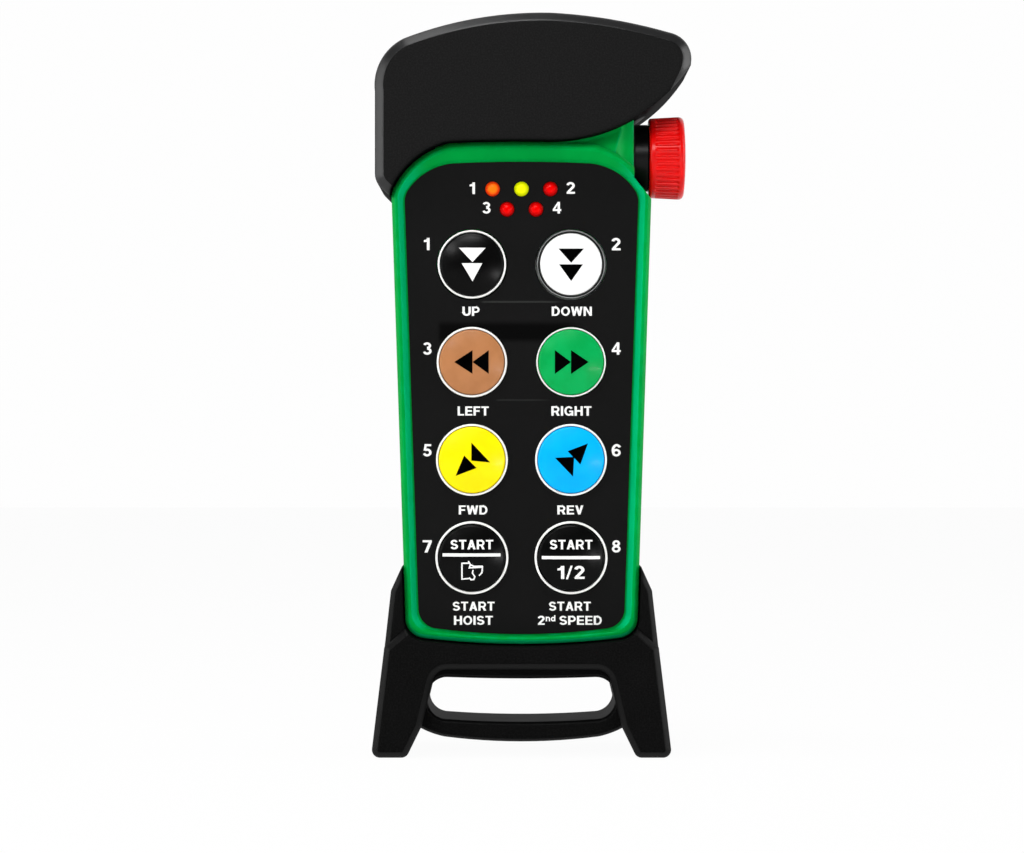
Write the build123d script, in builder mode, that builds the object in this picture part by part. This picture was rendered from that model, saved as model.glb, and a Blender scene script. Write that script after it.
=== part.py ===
from build123d import *
import os

os.makedirs("parts", exist_ok=True)

# Reach of the finished object, in millimetres from the centreline of the grip
foot_reach = 44.8
guard_tip = 50.9
guard_side = 43.95
axis_x = (foot_reach - guard_tip) / 2

# Feet, strap slot and bar of the lower guard, heights from the feet up
foot_width = 10.3
foot_corner = 2.4
foot_spread = 0.3
bar_low = 4.1
bar_rise = 1.5
bar_high = 10.0
bar_depth = 30.0
bar_bevel = 0.9
slot_top = 23.1
slot_half = 28.3
slot_sag = 1.3
slot_crown = 0.7
slot_radius = 5.8
arch_top = 26.4
arch_half = 25.8
arch_radius = 4.5
band_height = 10.7
arm_height = 24.3
arm_thick = 4.4
arm_setback = 3.0
arm_bevel = 1.5
fold_rise = 4.9
bore_spread = 14.0

# Housing, seen from the front
housing_length = 150.7
housing_depth = 38.0
shoulder_width = 78.2
hip_width = 69.5
corner_radius = 6.0
crown_half = 22.0
crown_drop = 0.5
knee_half = 31.9
knee_drop = 5.5
shoulder_drop = 15.2
hip_rise = 2.5
wall = 2.4
edge_bevel = 1.1
tenon_width = 44.0
tenon_reach = 4.7

# Bezel round the panel
rim_ridge = 1.9
rim_side = 3.4
rim_top = 5.2
rim_bottom = 2.4
rim_depth = 2.2

# Where the shells meet, and the seal between them
front_shell_depth = 28.1
seal_thick = 0.8
seal_edge = 0.7

# Clearances
guard_gap = 0.5
fit = 0.1
running = 0.3

# Guards
guard_depth = 48.0
guard_rise = 38.65
guard_bevel = 2.7
guard_wall = 8.0
guard_screw_sink = 6.0
guard_screw_half = 18.0
under_start = 9.0
under_rise = 0.4
under_radius = 50.0
yoke_bevel = 1.8

# Buttons
column_pitch = 29.8
row_pitch = 29.4
top_row_drop = 36.6
ring_radius = 10.6
ring_width = 0.85
ring_stand = 1.1
cap_stand = 1.6
cap_dome = 0.9
cap_edge = 0.6
cap_face = 2.4
cap_travel = 2.0
flange_lip = 1.45
flange_thick = 1.2
cap_wall = 1.4
post_radius = 1.9
switch_size = 10.0
overlay_thick = 0.6

# Signal lenses
lens_radius = 2.2
lens_stand = 1.1
lens_pitch = 8.7
lens_row_drop = 13.9
lens_row_gap = 6.1

# Circuit board
board_gap = 7.8
board_thick = 1.6
board_margin = 13.7
board_notch = 11.2
board_clip = 22.0
stop_clearance = 13.2
mat_thick = 1.0

# Stop button
stop_drop = 3.3
stop_face = 33.9
collar_radius = 10.2
collar_length = 5.2
barrel_radius = 8.0
barrel_length = 11.6
seal_washer = 0.6
knob_radius = 12.6
knob_flare = 0.45
knob_start = 4.95
knob_length = 11.35
knob_grooves = 40
plunger_radius = 3.5

# Crown of the housing that rises into the top guard
crown_left = 26.0
crown_rise = 10.0
crown_depth = 30.0

# Battery bay
cell_radius = 7.25
cell_length = 50.5
cell_pitch = 14.9
cell_button = 1.0
bay_bottom = 51.3
bay_length = 59.4
bay_wall = 1.8
cover_thick = 2.0
cover_margin = 3.5
cover_seal = 0.8

# Screws
screw_radius = 1.45
pilot_radius = 1.3
screw_head = 2.7
head_thick = 2.0
boss_radius = 3.2
low_screw_rise = 7.3
middle_screw_drop = 60.5
high_screw_drop = 24.5

# Heights that follow from the sizes above
housing_bottom = slot_top + band_height
housing_top = housing_bottom + housing_length
shoulder_height = housing_top - shoulder_drop
hip_height = housing_bottom + hip_rise
stop_height = housing_top - stop_drop
crown_top = housing_top + crown_rise
rows_middle = housing_top - top_row_drop - 1.5 * row_pitch
lens_row = housing_top - lens_row_drop

# Depths that follow, with the front at minus y
front_y = -housing_depth / 2
rear_y = housing_depth / 2
split_front = front_y + front_shell_depth
split_rear = split_front + seal_thick
panel_y = front_y + rim_depth
overlay_y = panel_y - overlay_thick
floor_y = panel_y + wall
ring_y = overlay_y - ring_stand
cap_y = overlay_y - cap_stand
cap_radius = ring_radius - ring_width - running
board_half = column_pitch / 2 + board_margin
board_y = floor_y + board_gap
board_rear = board_y + board_thick
guard_y = guard_depth / 2


def face_plane(depth):
    """Upright plane at a depth, drawn on as seen from the front."""
    return Plane(origin=(axis_x, depth, 0), x_dir=(1, 0, 0), z_dir=(0, -1, 0))


def turning_plane(across, height):
    """Level plane through a turned piece: x is its radius and y is the depth."""
    return Plane(origin=(axis_x + across, 0, height), x_dir=(1, 0, 0), z_dir=(0, 0, 1))


def turning_axis(across, height):
    """Axis of a turned piece that points front to back."""
    return Axis((axis_x + across, 0, height), (0, 1, 0))


def stop_plane(across):
    """Plane square to the stop button's axis, centred on it."""
    return Plane(origin=(axis_x + across, 0, stop_height), x_dir=(0, 1, 0), z_dir=(1, 0, 0))


def save(piece, name):
    piece.part.label = name
    export_step(piece.part, f"parts/{name}.step")


def half_width(height):
    """Half the housing's width at a height: it narrows evenly towards the bottom."""
    share = (height - hip_height) / (shoulder_height - hip_height)
    return (hip_width + share * (shoulder_width - hip_width)) / 2


def housing_outline(side=0.0, top=0.0, bottom=0.0, radius=corner_radius):
    """The housing seen from the front, drawn in by a rim at its sides, top and bottom."""
    rim = (side + top) / 2
    crown = (crown_half - 0.4 * side, housing_top - crown_drop - top)
    knee = (knee_half - 0.74 * rim, housing_top - knee_drop - 0.67 * rim)
    shoulder = (half_width(shoulder_height) - side, shoulder_height - 0.15 * top)
    hip = (half_width(hip_height) - side, hip_height + bottom)
    with BuildSketch() as outline:
        with BuildLine():
            ThreePointArc((-hip[0], hip[1]), (0, housing_bottom + bottom), hip)
            Line(hip, shoulder)
            ThreePointArc(shoulder, knee, crown)
            ThreePointArc(crown, (0, housing_top - top), (-crown[0], crown[1]))
            ThreePointArc((-crown[0], crown[1]), (-knee[0], knee[1]), (-shoulder[0], shoulder[1]))
            Line((-shoulder[0], shoulder[1]), (-hip[0], hip[1]))
        make_face()
        fillet(outline.vertices(), radius)
    return outline.sketch


def crown_outline(inset=0.0):
    """The block on top of the housing that the top guard slips over."""
    with BuildSketch() as outline:
        with Locations(((stop_face - crown_left) / 2, crown_top - inset)):
            Rectangle(
                stop_face + crown_left - 2 * inset,
                2 * crown_rise + shoulder_drop,
                align=(Align.CENTER, Align.MAX),
            )
    return outline.sketch


def underside(across, drop=0.0):
    """A point on the arched underside of the top guard, or a drop below it."""
    centre = housing_top + under_rise + under_radius
    reach = (under_radius**2 - (across - under_start) ** 2) ** 0.5
    return (across, centre - reach - drop)


def at_buttons(radius):
    """One circle at each of the eight button places."""
    with BuildSketch() as circles:
        with Locations((0, rows_middle)):
            with GridLocations(column_pitch, row_pitch, 2, 4):
                Circle(radius)
    return circles.sketch


button_columns = {"left": -column_pitch / 2, "right": column_pitch / 2}
button_places = {
    "up": (button_columns["left"], rows_middle + 1.5 * row_pitch),
    "down": (button_columns["right"], rows_middle + 1.5 * row_pitch),
    "left": (button_columns["left"], rows_middle + 0.5 * row_pitch),
    "right": (button_columns["right"], rows_middle + 0.5 * row_pitch),
    "forward": (button_columns["left"], rows_middle - 0.5 * row_pitch),
    "reverse": (button_columns["right"], rows_middle - 0.5 * row_pitch),
    "start": (button_columns["left"], rows_middle - 1.5 * row_pitch),
    "speed": (button_columns["right"], rows_middle - 1.5 * row_pitch),
}
lens_places = [
    (-lens_pitch, lens_row),
    (0, lens_row),
    (lens_pitch, lens_row),
    (-lens_pitch / 2, lens_row - lens_row_gap),
    (lens_pitch / 2, lens_row - lens_row_gap),
]
shell_screw_places = [
    (side * across, height)
    for side in (-1, 1)
    for across, height in (
        (27.0, housing_bottom + low_screw_rise),
        (half_width(housing_top - middle_screw_drop) - wall - boss_radius, housing_top - middle_screw_drop),
        (half_width(housing_top - high_screw_drop) - wall - boss_radius, housing_top - high_screw_drop),
    )
]
board_screw_places = [
    (0, rows_middle + row_pitch),
    (0, rows_middle - row_pitch),
    (-column_pitch / 2 - ring_radius - 0.5, rows_middle),
    (column_pitch / 2 + ring_radius + 0.5, rows_middle),
]
guard_screw_places = [(-guard_screw_half, crown_top - 4.4), (guard_screw_half, crown_top - 4.4)]
yoke_screw_places = [(-bore_spread, 0), (bore_spread, 0)]


# Shoulder block for the stop button, with a sloping front and a hollowed corner
with BuildPart() as stop_shoulder:
    with BuildSketch(face_plane(split_front)):
        add(crown_outline())
    extrude(amount=split_front + crown_depth / 2)
    ramp_low = shoulder_height + 3.4
    ramp_start = 10.0
    ramp_middle = (ramp_start + stop_face) / 2
    with BuildSketch(face_plane(front_y + 0.4)):
        with BuildLine():
            ramp_left = (ramp_start, housing_top - edge_bevel)
            ramp_right = (stop_face, ramp_low + 0.6)
            Polyline(ramp_left, (ramp_start, ramp_low), (stop_face, ramp_low), ramp_right)
            ThreePointArc(ramp_right, (ramp_middle + 2.6, housing_top - 3.9), ramp_left)
        make_face()
    with BuildSketch(face_plane(-crown_depth / 2 + 0.2)):
        with BuildLine():
            ramp_left = underside(ramp_start, guard_gap)
            ramp_right = underside(stop_face, guard_gap)
            Polyline(ramp_left, (ramp_start, ramp_low), (stop_face, ramp_low), ramp_right)
            ThreePointArc(ramp_right, underside(ramp_middle, guard_gap), ramp_left)
        make_face()
    loft()
    facet_radius = 8.7
    with BuildSketch(Plane(origin=(axis_x, 0, ramp_low), x_dir=(1, 0, 0), z_dir=(0, 0, 1))):
        with Locations((stop_face + 1.9, front_y - 2.5)):
            Circle(facet_radius)
    extrude(amount=30.0, mode=Mode.SUBTRACT)

pocket_radius = knob_radius + 0.8


def knob_room(margin=0.0):
    """The room for the stop knob beside the housing: a round pocket and a slanting cut."""
    slant_low = (stop_face + 5.4, shoulder_height - 2.1)
    with BuildPart() as room:
        with BuildSketch(stop_plane(stop_face - margin)):
            Circle(pocket_radius + margin)
        extrude(amount=guard_tip)
        with BuildSketch(face_plane(rear_y)):
            with BuildLine():
                Polyline(
                    (stop_face - margin, stop_height + pocket_radius),
                    (stop_face - margin, shoulder_height + 4.7 - margin),
                    (slant_low[0] - margin, slant_low[1] - margin),
                    (guard_tip, slant_low[1] - margin),
                    (guard_tip, stop_height + pocket_radius),
                    close=True,
                )
            make_face()
        extrude(amount=housing_depth)
    return room.part


def pocket_wall(back, front):
    """The part of the housing's shoulder that stays solid behind the knob's room."""
    with BuildPart() as shoulder_wall:
        with BuildSketch(face_plane(back)):
            add(housing_outline())
        extrude(amount=back - front)
        add(knob_room(wall), mode=Mode.INTERSECT)
    return shoulder_wall.part


# Front shell: bezel, sunk panel floor, button bores, lens holes and screw posts
with BuildPart() as front_shell:
    with BuildSketch(face_plane(split_front)):
        add(housing_outline())
    extrude(amount=front_shell_depth)
    chamfer(front_shell.faces().sort_by(Axis.Y)[0].edges(), edge_bevel)
    add(stop_shoulder.part)
    with BuildSketch(face_plane(split_front)):
        add(housing_outline(wall, wall, wall, corner_radius - wall))
    extrude(amount=split_front - floor_y, mode=Mode.SUBTRACT)
    with BuildSketch(face_plane(split_front)):
        add(crown_outline(wall))
    extrude(amount=split_front + crown_depth / 2 - wall, mode=Mode.SUBTRACT)
    add(pocket_wall(split_front, floor_y))
    with BuildSketch(face_plane(front_y)):
        add(housing_outline(rim_ridge, rim_ridge, rim_ridge))
    with BuildSketch(face_plane(panel_y)):
        add(housing_outline(rim_side, rim_top, rim_bottom))
    loft(mode=Mode.SUBTRACT)
    with BuildSketch(face_plane(floor_y)):
        add(at_buttons(ring_radius + fit))
    extrude(amount=wall, mode=Mode.SUBTRACT)
    with BuildSketch(face_plane(floor_y)):
        with Locations(*lens_places):
            Circle(lens_radius + fit)
    extrude(amount=wall, mode=Mode.SUBTRACT)
    with BuildSketch(face_plane(split_front)):
        with Locations(*shell_screw_places):
            Circle(boss_radius)
    extrude(amount=split_front - floor_y)
    with BuildSketch(face_plane(split_front)):
        with Locations(*shell_screw_places):
            Circle(pilot_radius)
    extrude(amount=12.0, mode=Mode.SUBTRACT)
    with BuildSketch(face_plane(board_y)):
        with Locations(*board_screw_places):
            Circle(boss_radius - 0.6)
    extrude(amount=board_gap)
    with BuildSketch(face_plane(board_y)):
        with Locations(*board_screw_places):
            Circle(pilot_radius - 0.3)
    extrude(amount=board_gap - 1.0, mode=Mode.SUBTRACT)
    # Tenon that goes into the lower guard
    with BuildSketch(face_plane(split_front)):
        with Locations((0, housing_bottom + wall)):
            Rectangle(tenon_width, wall + tenon_reach, align=(Align.CENTER, Align.MAX))
    extrude(amount=split_front + 10.0)
    with BuildSketch(Plane(origin=(axis_x, 0, housing_bottom - tenon_reach), z_dir=(0, 0, 1))):
        with Locations(*yoke_screw_places):
            Circle(pilot_radius)
    extrude(amount=6.0, mode=Mode.SUBTRACT)
    # Bore for the stop button and the pocket for its knob
    with BuildSketch(stop_plane(stop_face)):
        Circle(barrel_radius + fit)
    extrude(amount=-2 * wall, mode=Mode.SUBTRACT)
    add(knob_room(), mode=Mode.SUBTRACT)
save(front_shell, "front_shell")

# Frame and floor of the battery bay
bay_half = 1.5 * cell_pitch + running
bay_top = bay_bottom + bay_length
bay_middle = bay_bottom + bay_length / 2
ledge_y = rear_y - cover_thick - cover_seal
cell_y = ledge_y + cover_seal - running - cell_radius
bay_floor = cell_y - cell_radius - running
cover_half = bay_half + cover_margin
cover_length = bay_length + 2 * cover_margin + 5.0
cover_screw_places = [
    (side * (cover_half - 3.2), bay_middle + end * (cover_length / 2 - 3.2))
    for side in (-1, 1)
    for end in (-1, 1)
]

# Rear shell with the battery bay
with BuildPart() as rear_shell:
    with BuildSketch(face_plane(rear_y)):
        add(housing_outline())
    extrude(amount=rear_y - split_rear)
    chamfer(rear_shell.faces().sort_by(Axis.Y)[-1].edges(), 3.2)
    with BuildSketch(face_plane(crown_depth / 2)):
        add(crown_outline())
    extrude(amount=crown_depth / 2 - split_rear)
    with BuildSketch(face_plane(rear_y - wall)):
        add(housing_outline(wall, wall, wall, corner_radius - wall))
    extrude(amount=rear_y - wall - split_rear, mode=Mode.SUBTRACT)
    with BuildSketch(face_plane(crown_depth / 2 - wall)):
        add(crown_outline(wall))
    extrude(amount=crown_depth / 2 - wall - split_rear, mode=Mode.SUBTRACT)
    add(pocket_wall(rear_y - wall, split_rear))
    with BuildSketch(face_plane(rear_y - wall)):
        with Locations(*shell_screw_places):
            Circle(boss_radius + 0.4)
    extrude(amount=rear_y - wall - split_rear)
    with BuildSketch(face_plane(rear_y - wall)):
        with Locations((0, bay_middle)):
            RectangleRounded(2 * cover_half + 2.4, cover_length + 2.4, 4.0)
    extrude(amount=5.0)
    with BuildSketch(face_plane(rear_y - wall)):
        with Locations((0, bay_middle)):
            Rectangle(2 * (bay_half + bay_wall), bay_length + 2 * bay_wall)
    extrude(amount=rear_y - wall - bay_floor + bay_wall)
    with BuildSketch(face_plane(rear_y)):
        with Locations((0, bay_middle)):
            Rectangle(2 * bay_half, bay_length)
    extrude(amount=rear_y - bay_floor, mode=Mode.SUBTRACT)
    with BuildSketch(face_plane(rear_y)):
        with Locations((0, bay_middle)):
            RectangleRounded(2 * (cover_half + running), cover_length + 2 * running, 3.3)
    extrude(amount=cover_thick + cover_seal, mode=Mode.SUBTRACT)
    with BuildSketch(face_plane(ledge_y)):
        with Locations(*cover_screw_places):
            Circle(pilot_radius - 0.3)
    extrude(amount=5.0, mode=Mode.SUBTRACT)
    with BuildSketch(face_plane(rear_y)):
        with Locations(*shell_screw_places):
            Circle(screw_head + running)
    extrude(amount=wall, mode=Mode.SUBTRACT)
    with BuildSketch(face_plane(rear_y)):
        with Locations(*shell_screw_places):
            Circle(screw_radius + fit)
    extrude(amount=housing_depth, mode=Mode.SUBTRACT)
    with BuildSketch(face_plane(crown_depth / 2)):
        with Locations(*guard_screw_places):
            Circle(pilot_radius)
    extrude(amount=wall, mode=Mode.SUBTRACT)
    add(knob_room(), mode=Mode.SUBTRACT)
save(rear_shell, "rear_shell")

# Seal between the shells, inside their outer edge
with BuildPart() as shell_gasket:
    with BuildSketch(face_plane(split_rear)):
        add(housing_outline(seal_edge, seal_edge, seal_edge))
        add(crown_outline(seal_edge))
        add(
            housing_outline(wall, wall, wall, corner_radius - wall),
            mode=Mode.SUBTRACT,
        )
        add(crown_outline(wall), mode=Mode.SUBTRACT)
    extrude(amount=seal_thick)
    add(knob_room(), mode=Mode.SUBTRACT)
save(shell_gasket, "shell_gasket")

# Panel sheet in the bezel's recess, with its openings for the rings and lenses
with BuildPart() as keypad_overlay:
    overlay_inset = 0.5
    with BuildSketch(face_plane(panel_y)):
        add(housing_outline(rim_side + overlay_inset, rim_top + overlay_inset, rim_bottom + overlay_inset))
    extrude(amount=overlay_thick)
    with BuildSketch(face_plane(panel_y)):
        add(at_buttons(ring_radius + fit))
    extrude(amount=overlay_thick, mode=Mode.SUBTRACT)
    with BuildSketch(face_plane(panel_y)):
        with Locations(*lens_places):
            Circle(lens_radius + fit)
    extrude(amount=overlay_thick, mode=Mode.SUBTRACT)
save(keypad_overlay, "keypad_overlay")

# Fixed rings round the buttons, all alike
with BuildPart() as button_rings:
    for across, height in button_places.values():
        with BuildSketch(turning_plane(across, height)):
            with BuildLine():
                inner = ring_radius - ring_width
                Polyline(
                    (inner, floor_y),
                    (inner, ring_y + 0.3),
                    (inner + 0.25, ring_y),
                    (ring_radius - 0.25, ring_y),
                    (ring_radius, ring_y + 0.3),
                    (ring_radius, floor_y),
                    close=True,
                )
            make_face()
        revolve(axis=turning_axis(across, height))
save(button_rings, "button_rings")

# Push buttons: a domed cap with a skirt, a flange behind the panel floor and a post
for name, (across, height) in button_places.items():
    with BuildPart() as cap:
        with BuildSketch(turning_plane(across, height)):
            with BuildLine():
                flange_y = floor_y + running
                flange_back = flange_y + flange_thick
                ceiling = cap_y + cap_face
                TangentArc((0, cap_y - cap_dome), (cap_radius - cap_edge, cap_y), tangent=(1, 0))
                RadiusArc((cap_radius - cap_edge, cap_y), (cap_radius, cap_y + cap_edge), -cap_edge)
                Polyline(
                    (cap_radius, cap_y + cap_edge),
                    (cap_radius, flange_y),
                    (cap_radius + flange_lip, flange_y),
                    (cap_radius + flange_lip, flange_back),
                    (cap_radius - cap_wall, flange_back),
                    (cap_radius - cap_wall, ceiling),
                    (post_radius, ceiling),
                    (post_radius, board_y - switch_size / 2 + 0.2),
                    (0, board_y - switch_size / 2 + 0.2),
                    (0, cap_y - cap_dome),
                )
            make_face()
        revolve(axis=turning_axis(across, height))
    save(cap, f"button_{name}")

# Two-step switches on the board, each with a well for its button's post
for name, (across, height) in button_places.items():
    with BuildPart() as switch:
        with BuildSketch(face_plane(board_y)):
            with Locations((across, height)):
                RectangleRounded(switch_size, switch_size, 1.0)
        extrude(amount=switch_size / 2)
        chamfer(switch.faces().sort_by(Axis.Y)[0].edges(), 0.4)
        with BuildSketch(face_plane(board_y - switch_size / 2)):
            with Locations((across, height)):
                Circle(post_radius + 0.4)
        extrude(amount=-(cap_travel + 0.5), mode=Mode.SUBTRACT)
    save(switch, f"switch_{name}")

# Signal lenses: domed light pipes over the light sources
light_height = 0.8
for number, (across, height) in enumerate(lens_places, start=1):
    with BuildPart() as lens:
        with BuildSketch(turning_plane(across, height)):
            with BuildLine():
                lens_y = overlay_y - lens_stand
                TangentArc((0, lens_y), (lens_radius, lens_y + lens_stand), tangent=(1, 0))
                Polyline(
                    (lens_radius, lens_y + lens_stand),
                    (lens_radius, floor_y),
                    (lens_radius - 0.5, board_y - light_height - running),
                    (0, board_y - light_height - running),
                    (0, lens_y),
                )
            make_face()
        revolve(axis=turning_axis(across, height))
    save(lens, f"signal_lens_{number}")

with BuildPart() as light_sources:
    with BuildSketch(face_plane(board_y)):
        with Locations(*lens_places):
            Rectangle(2.0, 1.25)
    extrude(amount=light_height)
save(light_sources, "light_sources")

# Seal sheet behind the panel floor, open round each button's flange
board_low = hip_height + 9.5
seal_high = lens_row + 3.4
with BuildPart() as keypad_seal:
    with BuildSketch(face_plane(floor_y + running + mat_thick)):
        with Locations((0, (board_low + seal_high) / 2)):
            RectangleRounded(2 * board_half, seal_high - board_low, 3.0)
        with Locations((0, rows_middle)):
            with GridLocations(column_pitch, row_pitch, 2, 4):
                Circle(cap_radius + flange_lip + 0.5, mode=Mode.SUBTRACT)
        with Locations(*board_screw_places):
            Circle(boss_radius, mode=Mode.SUBTRACT)
        with Locations(*lens_places):
            Circle(lens_radius + 0.4, mode=Mode.SUBTRACT)
    extrude(amount=mat_thick)
save(keypad_seal, "keypad_seal")

# Main board, cut away under the stop button
board_shelf = stop_height - stop_clearance
board_high = lens_row + 4.4
with BuildPart() as main_board:
    with BuildSketch(face_plane(board_rear)):
        with BuildLine():
            Polyline(
                (-board_half, board_low),
                (board_half, board_low),
                (board_half, board_shelf),
                (board_notch, board_shelf),
                (board_notch, board_high),
                (-board_clip, board_high),
                (-board_half, board_high - board_half + board_clip),
                close=True,
            )
        make_face()
        with Locations(*board_screw_places):
            Circle(pilot_radius, mode=Mode.SUBTRACT)
    extrude(amount=board_thick)
save(main_board, "main_board")


def chip(name, across, height, width, length, thick, bevel):
    """A moulded component on the rear of the board."""
    with BuildPart() as block:
        with BuildSketch(face_plane(board_rear + thick)):
            with Locations((across, height)):
                Rectangle(width, length)
        extrude(amount=thick)
        chamfer(block.faces().sort_by(Axis.Y)[-1].edges(), bevel)
    save(block, name)


parts_row = bay_top + 26.0
chip("radio_module", -13.0, parts_row + 6.0, 20.0, 26.0, 3.0, 0.4)
chip("microcontroller", 11.0, parts_row, 12.0, 12.0, 1.4, 0.25)
chip("timing_crystal", 11.0, parts_row + 11.0, 8.0, 3.4, 2.2, 0.4)

with BuildPart() as sounder:
    with BuildSketch(face_plane(board_rear + 5.0)):
        with Locations((16.0, parts_row - 15.0)):
            Circle(5.5)
            Circle(1.0, mode=Mode.SUBTRACT)
    extrude(amount=5.0)
save(sounder, "sounder")

# Aerial board with a raised meandering track, behind the main board's top edge
aerial_width = 26.0
aerial_low = board_high - 6.0
aerial_high = crown_top - wall - 1.2
aerial_thick = 1.0
track_pitch = 3.2
with BuildPart() as antenna:
    with BuildSketch(face_plane(board_rear + aerial_thick)):
        with Locations((-8.5, (aerial_low + aerial_high) / 2)):
            Rectangle(aerial_width, aerial_high - aerial_low)
    extrude(amount=aerial_thick)
    with BuildSketch(face_plane(board_rear + aerial_thick + 0.3)):
        with Locations((-8.5, aerial_high - 6.5)):
            with GridLocations(track_pitch, 0, 7, 1):
                Rectangle(1.0, 9.0)
            for end in (-1, 1):
                with Locations((end * track_pitch / 2, end * 4.0)):
                    with GridLocations(2 * track_pitch, 0, 3, 1):
                        Rectangle(track_pitch + 1.0, 1.0)
    extrude(amount=0.3)
save(antenna, "antenna")

# Battery cells, side by side in the bay
cell_bottom = bay_bottom + 4.6
for number in (1, 2, 3):
    across = (number - 2) * cell_pitch
    with BuildPart() as cell:
        with BuildSketch(Plane(origin=(axis_x + across, cell_y, cell_bottom), z_dir=(0, 0, 1))):
            Circle(cell_radius)
        extrude(amount=cell_length - cell_button)
        chamfer(cell.edges().filter_by(GeomType.CIRCLE), 0.6)
        with BuildSketch(
            Plane(origin=(axis_x + across, cell_y, cell_bottom + cell_length - cell_button), z_dir=(0, 0, 1))
        ):
            Circle(2.7)
        extrude(amount=cell_button)
    save(cell, f"battery_cell_{number}")

# Bent contact strips at both ends of the cells
for name, seat, tip in (
    ("battery_contacts_low", bay_bottom, cell_bottom),
    ("battery_contacts_high", bay_top, cell_bottom + cell_length),
):
    inward = 1 if tip > seat else -1
    reach = abs(tip - seat)
    with BuildPart() as contacts:
        for number in (-1, 0, 1):
            with BuildSketch(
                Plane(
                    origin=(axis_x + number * cell_pitch - 3.5, cell_y, seat),
                    x_dir=(0, 1, 0),
                    z_dir=(1, 0, 0),
                )
            ):
                with BuildLine():
                    Polyline(
                        (-6.0, 0),
                        (6.0, 0),
                        (6.0, inward * 0.4),
                        (-3.4, inward * 0.4),
                        (0, inward * reach),
                        (-0.8, inward * reach),
                        (-6.0, inward * 0.9),
                        close=True,
                    )
                make_face()
            extrude(amount=7.0)
    save(contacts, name)

# Battery cover with its seal and four screws
with BuildPart() as battery_gasket:
    with BuildSketch(face_plane(ledge_y + cover_seal)):
        with Locations((0, bay_middle)):
            RectangleRounded(2 * cover_half - 1.0, cover_length - 1.0, 3.0)
            Rectangle(2 * bay_half, bay_length, mode=Mode.SUBTRACT)
        with Locations(*cover_screw_places):
            Circle(screw_radius + 0.3, mode=Mode.SUBTRACT)
    extrude(amount=cover_seal)
save(battery_gasket, "battery_gasket")

with BuildPart() as battery_cover:
    with BuildSketch(face_plane(rear_y)):
        with Locations((0, bay_middle)):
            RectangleRounded(2 * cover_half, cover_length, 3.0)
    extrude(amount=cover_thick)
    chamfer(battery_cover.faces().sort_by(Axis.Y)[-1].edges(), 0.5)
    # Finger grooves across the middle
    with BuildSketch(face_plane(rear_y)):
        with Locations((0, bay_middle)):
            with GridLocations(0, 4.2, 1, 7):
                SlotOverall(30.0, 1.6)
    extrude(amount=0.8, mode=Mode.SUBTRACT)
    with BuildSketch(face_plane(rear_y)):
        with Locations(*cover_screw_places):
            Circle(screw_radius + fit)
    extrude(amount=cover_thick, mode=Mode.SUBTRACT)
    with BuildSketch(face_plane(rear_y)):
        with Locations(*cover_screw_places):
            Circle(screw_head + 0.15)
    extrude(amount=cover_thick - 0.8, mode=Mode.SUBTRACT)
save(battery_cover, "battery_cover")


def screws(name, places, seat, head, shank, radius):
    """Pan-head screws that point forward from a seat depth."""
    with BuildPart() as group:
        with BuildSketch(face_plane(seat + head)):
            with Locations(*places):
                Circle(screw_head)
        extrude(amount=head)
        with BuildSketch(face_plane(seat)):
            with Locations(*places):
                Circle(radius)
        extrude(amount=shank)
        with BuildSketch(face_plane(seat + head)):
            with Locations(*places):
                RegularPolygon(1.4, 6)
        extrude(amount=0.6 * head, mode=Mode.SUBTRACT)
    save(group, name)


screws("battery_cover_screws", cover_screw_places, rear_y - cover_thick + 0.8, 1.0, 5.0, pilot_radius - 0.3)
shell_screw_reach = rear_y - wall - split_front + 9.0
screws("shell_screws", shell_screw_places, rear_y - wall, 1.8, shell_screw_reach, pilot_radius)
screws("board_screws", board_screw_places, board_rear, 1.4, board_gap - 1.6, pilot_radius - 0.3)

# Stop button, from the outside in
with BuildPart() as stop_seal:
    with BuildSketch(stop_plane(stop_face)):
        Circle(collar_radius)
        Circle(barrel_radius + fit, mode=Mode.SUBTRACT)
    extrude(amount=seal_washer)
save(stop_seal, "stop_seal")

bushing_radius = plunger_radius + 0.4
with BuildPart() as stop_collar:
    with BuildSketch(stop_plane(stop_face + seal_washer)):
        Circle(collar_radius)
    extrude(amount=collar_length - seal_washer)
    chamfer(stop_collar.faces().sort_by(Axis.X)[-1].edges(), 0.6)
    with BuildSketch(stop_plane(stop_face + seal_washer)):
        Circle(barrel_radius)
    extrude(amount=-barrel_length)
    with BuildSketch(stop_plane(stop_face + collar_length)):
        Circle(bushing_radius)
    extrude(amount=-barrel_length - collar_length, mode=Mode.SUBTRACT)
save(stop_collar, "stop_collar")

with BuildPart() as stop_nut:
    with BuildSketch(stop_plane(stop_face - wall)):
        RegularPolygon(10.0, 6, major_radius=False)
        Circle(barrel_radius + 0.05, mode=Mode.SUBTRACT)
    extrude(amount=-3.0)
save(stop_nut, "stop_nut")

knob_x = stop_face + knob_start
cup_depth = 5.1
shaft_seat = 3.0
block_front = stop_face + seal_washer - barrel_length
block_length = 10.6
plunger_end = block_front - 3.2
with BuildPart() as stop_contacts:
    with BuildSketch(stop_plane(block_front)):
        RectangleRounded(18.0, 17.0, 1.5)
    extrude(amount=-block_length)
    with BuildSketch(stop_plane(block_front)):
        Circle(bushing_radius)
    extrude(amount=-(block_length - 1.0), mode=Mode.SUBTRACT)
    # Screw terminals on its rear side
    with BuildSketch(face_plane(9.0)):
        with Locations((block_front - block_length / 2, stop_height)):
            with GridLocations(0, 9.6, 1, 2):
                Circle(1.6)
    extrude(amount=1.2, mode=Mode.SUBTRACT)
save(stop_contacts, "stop_contacts")

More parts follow.
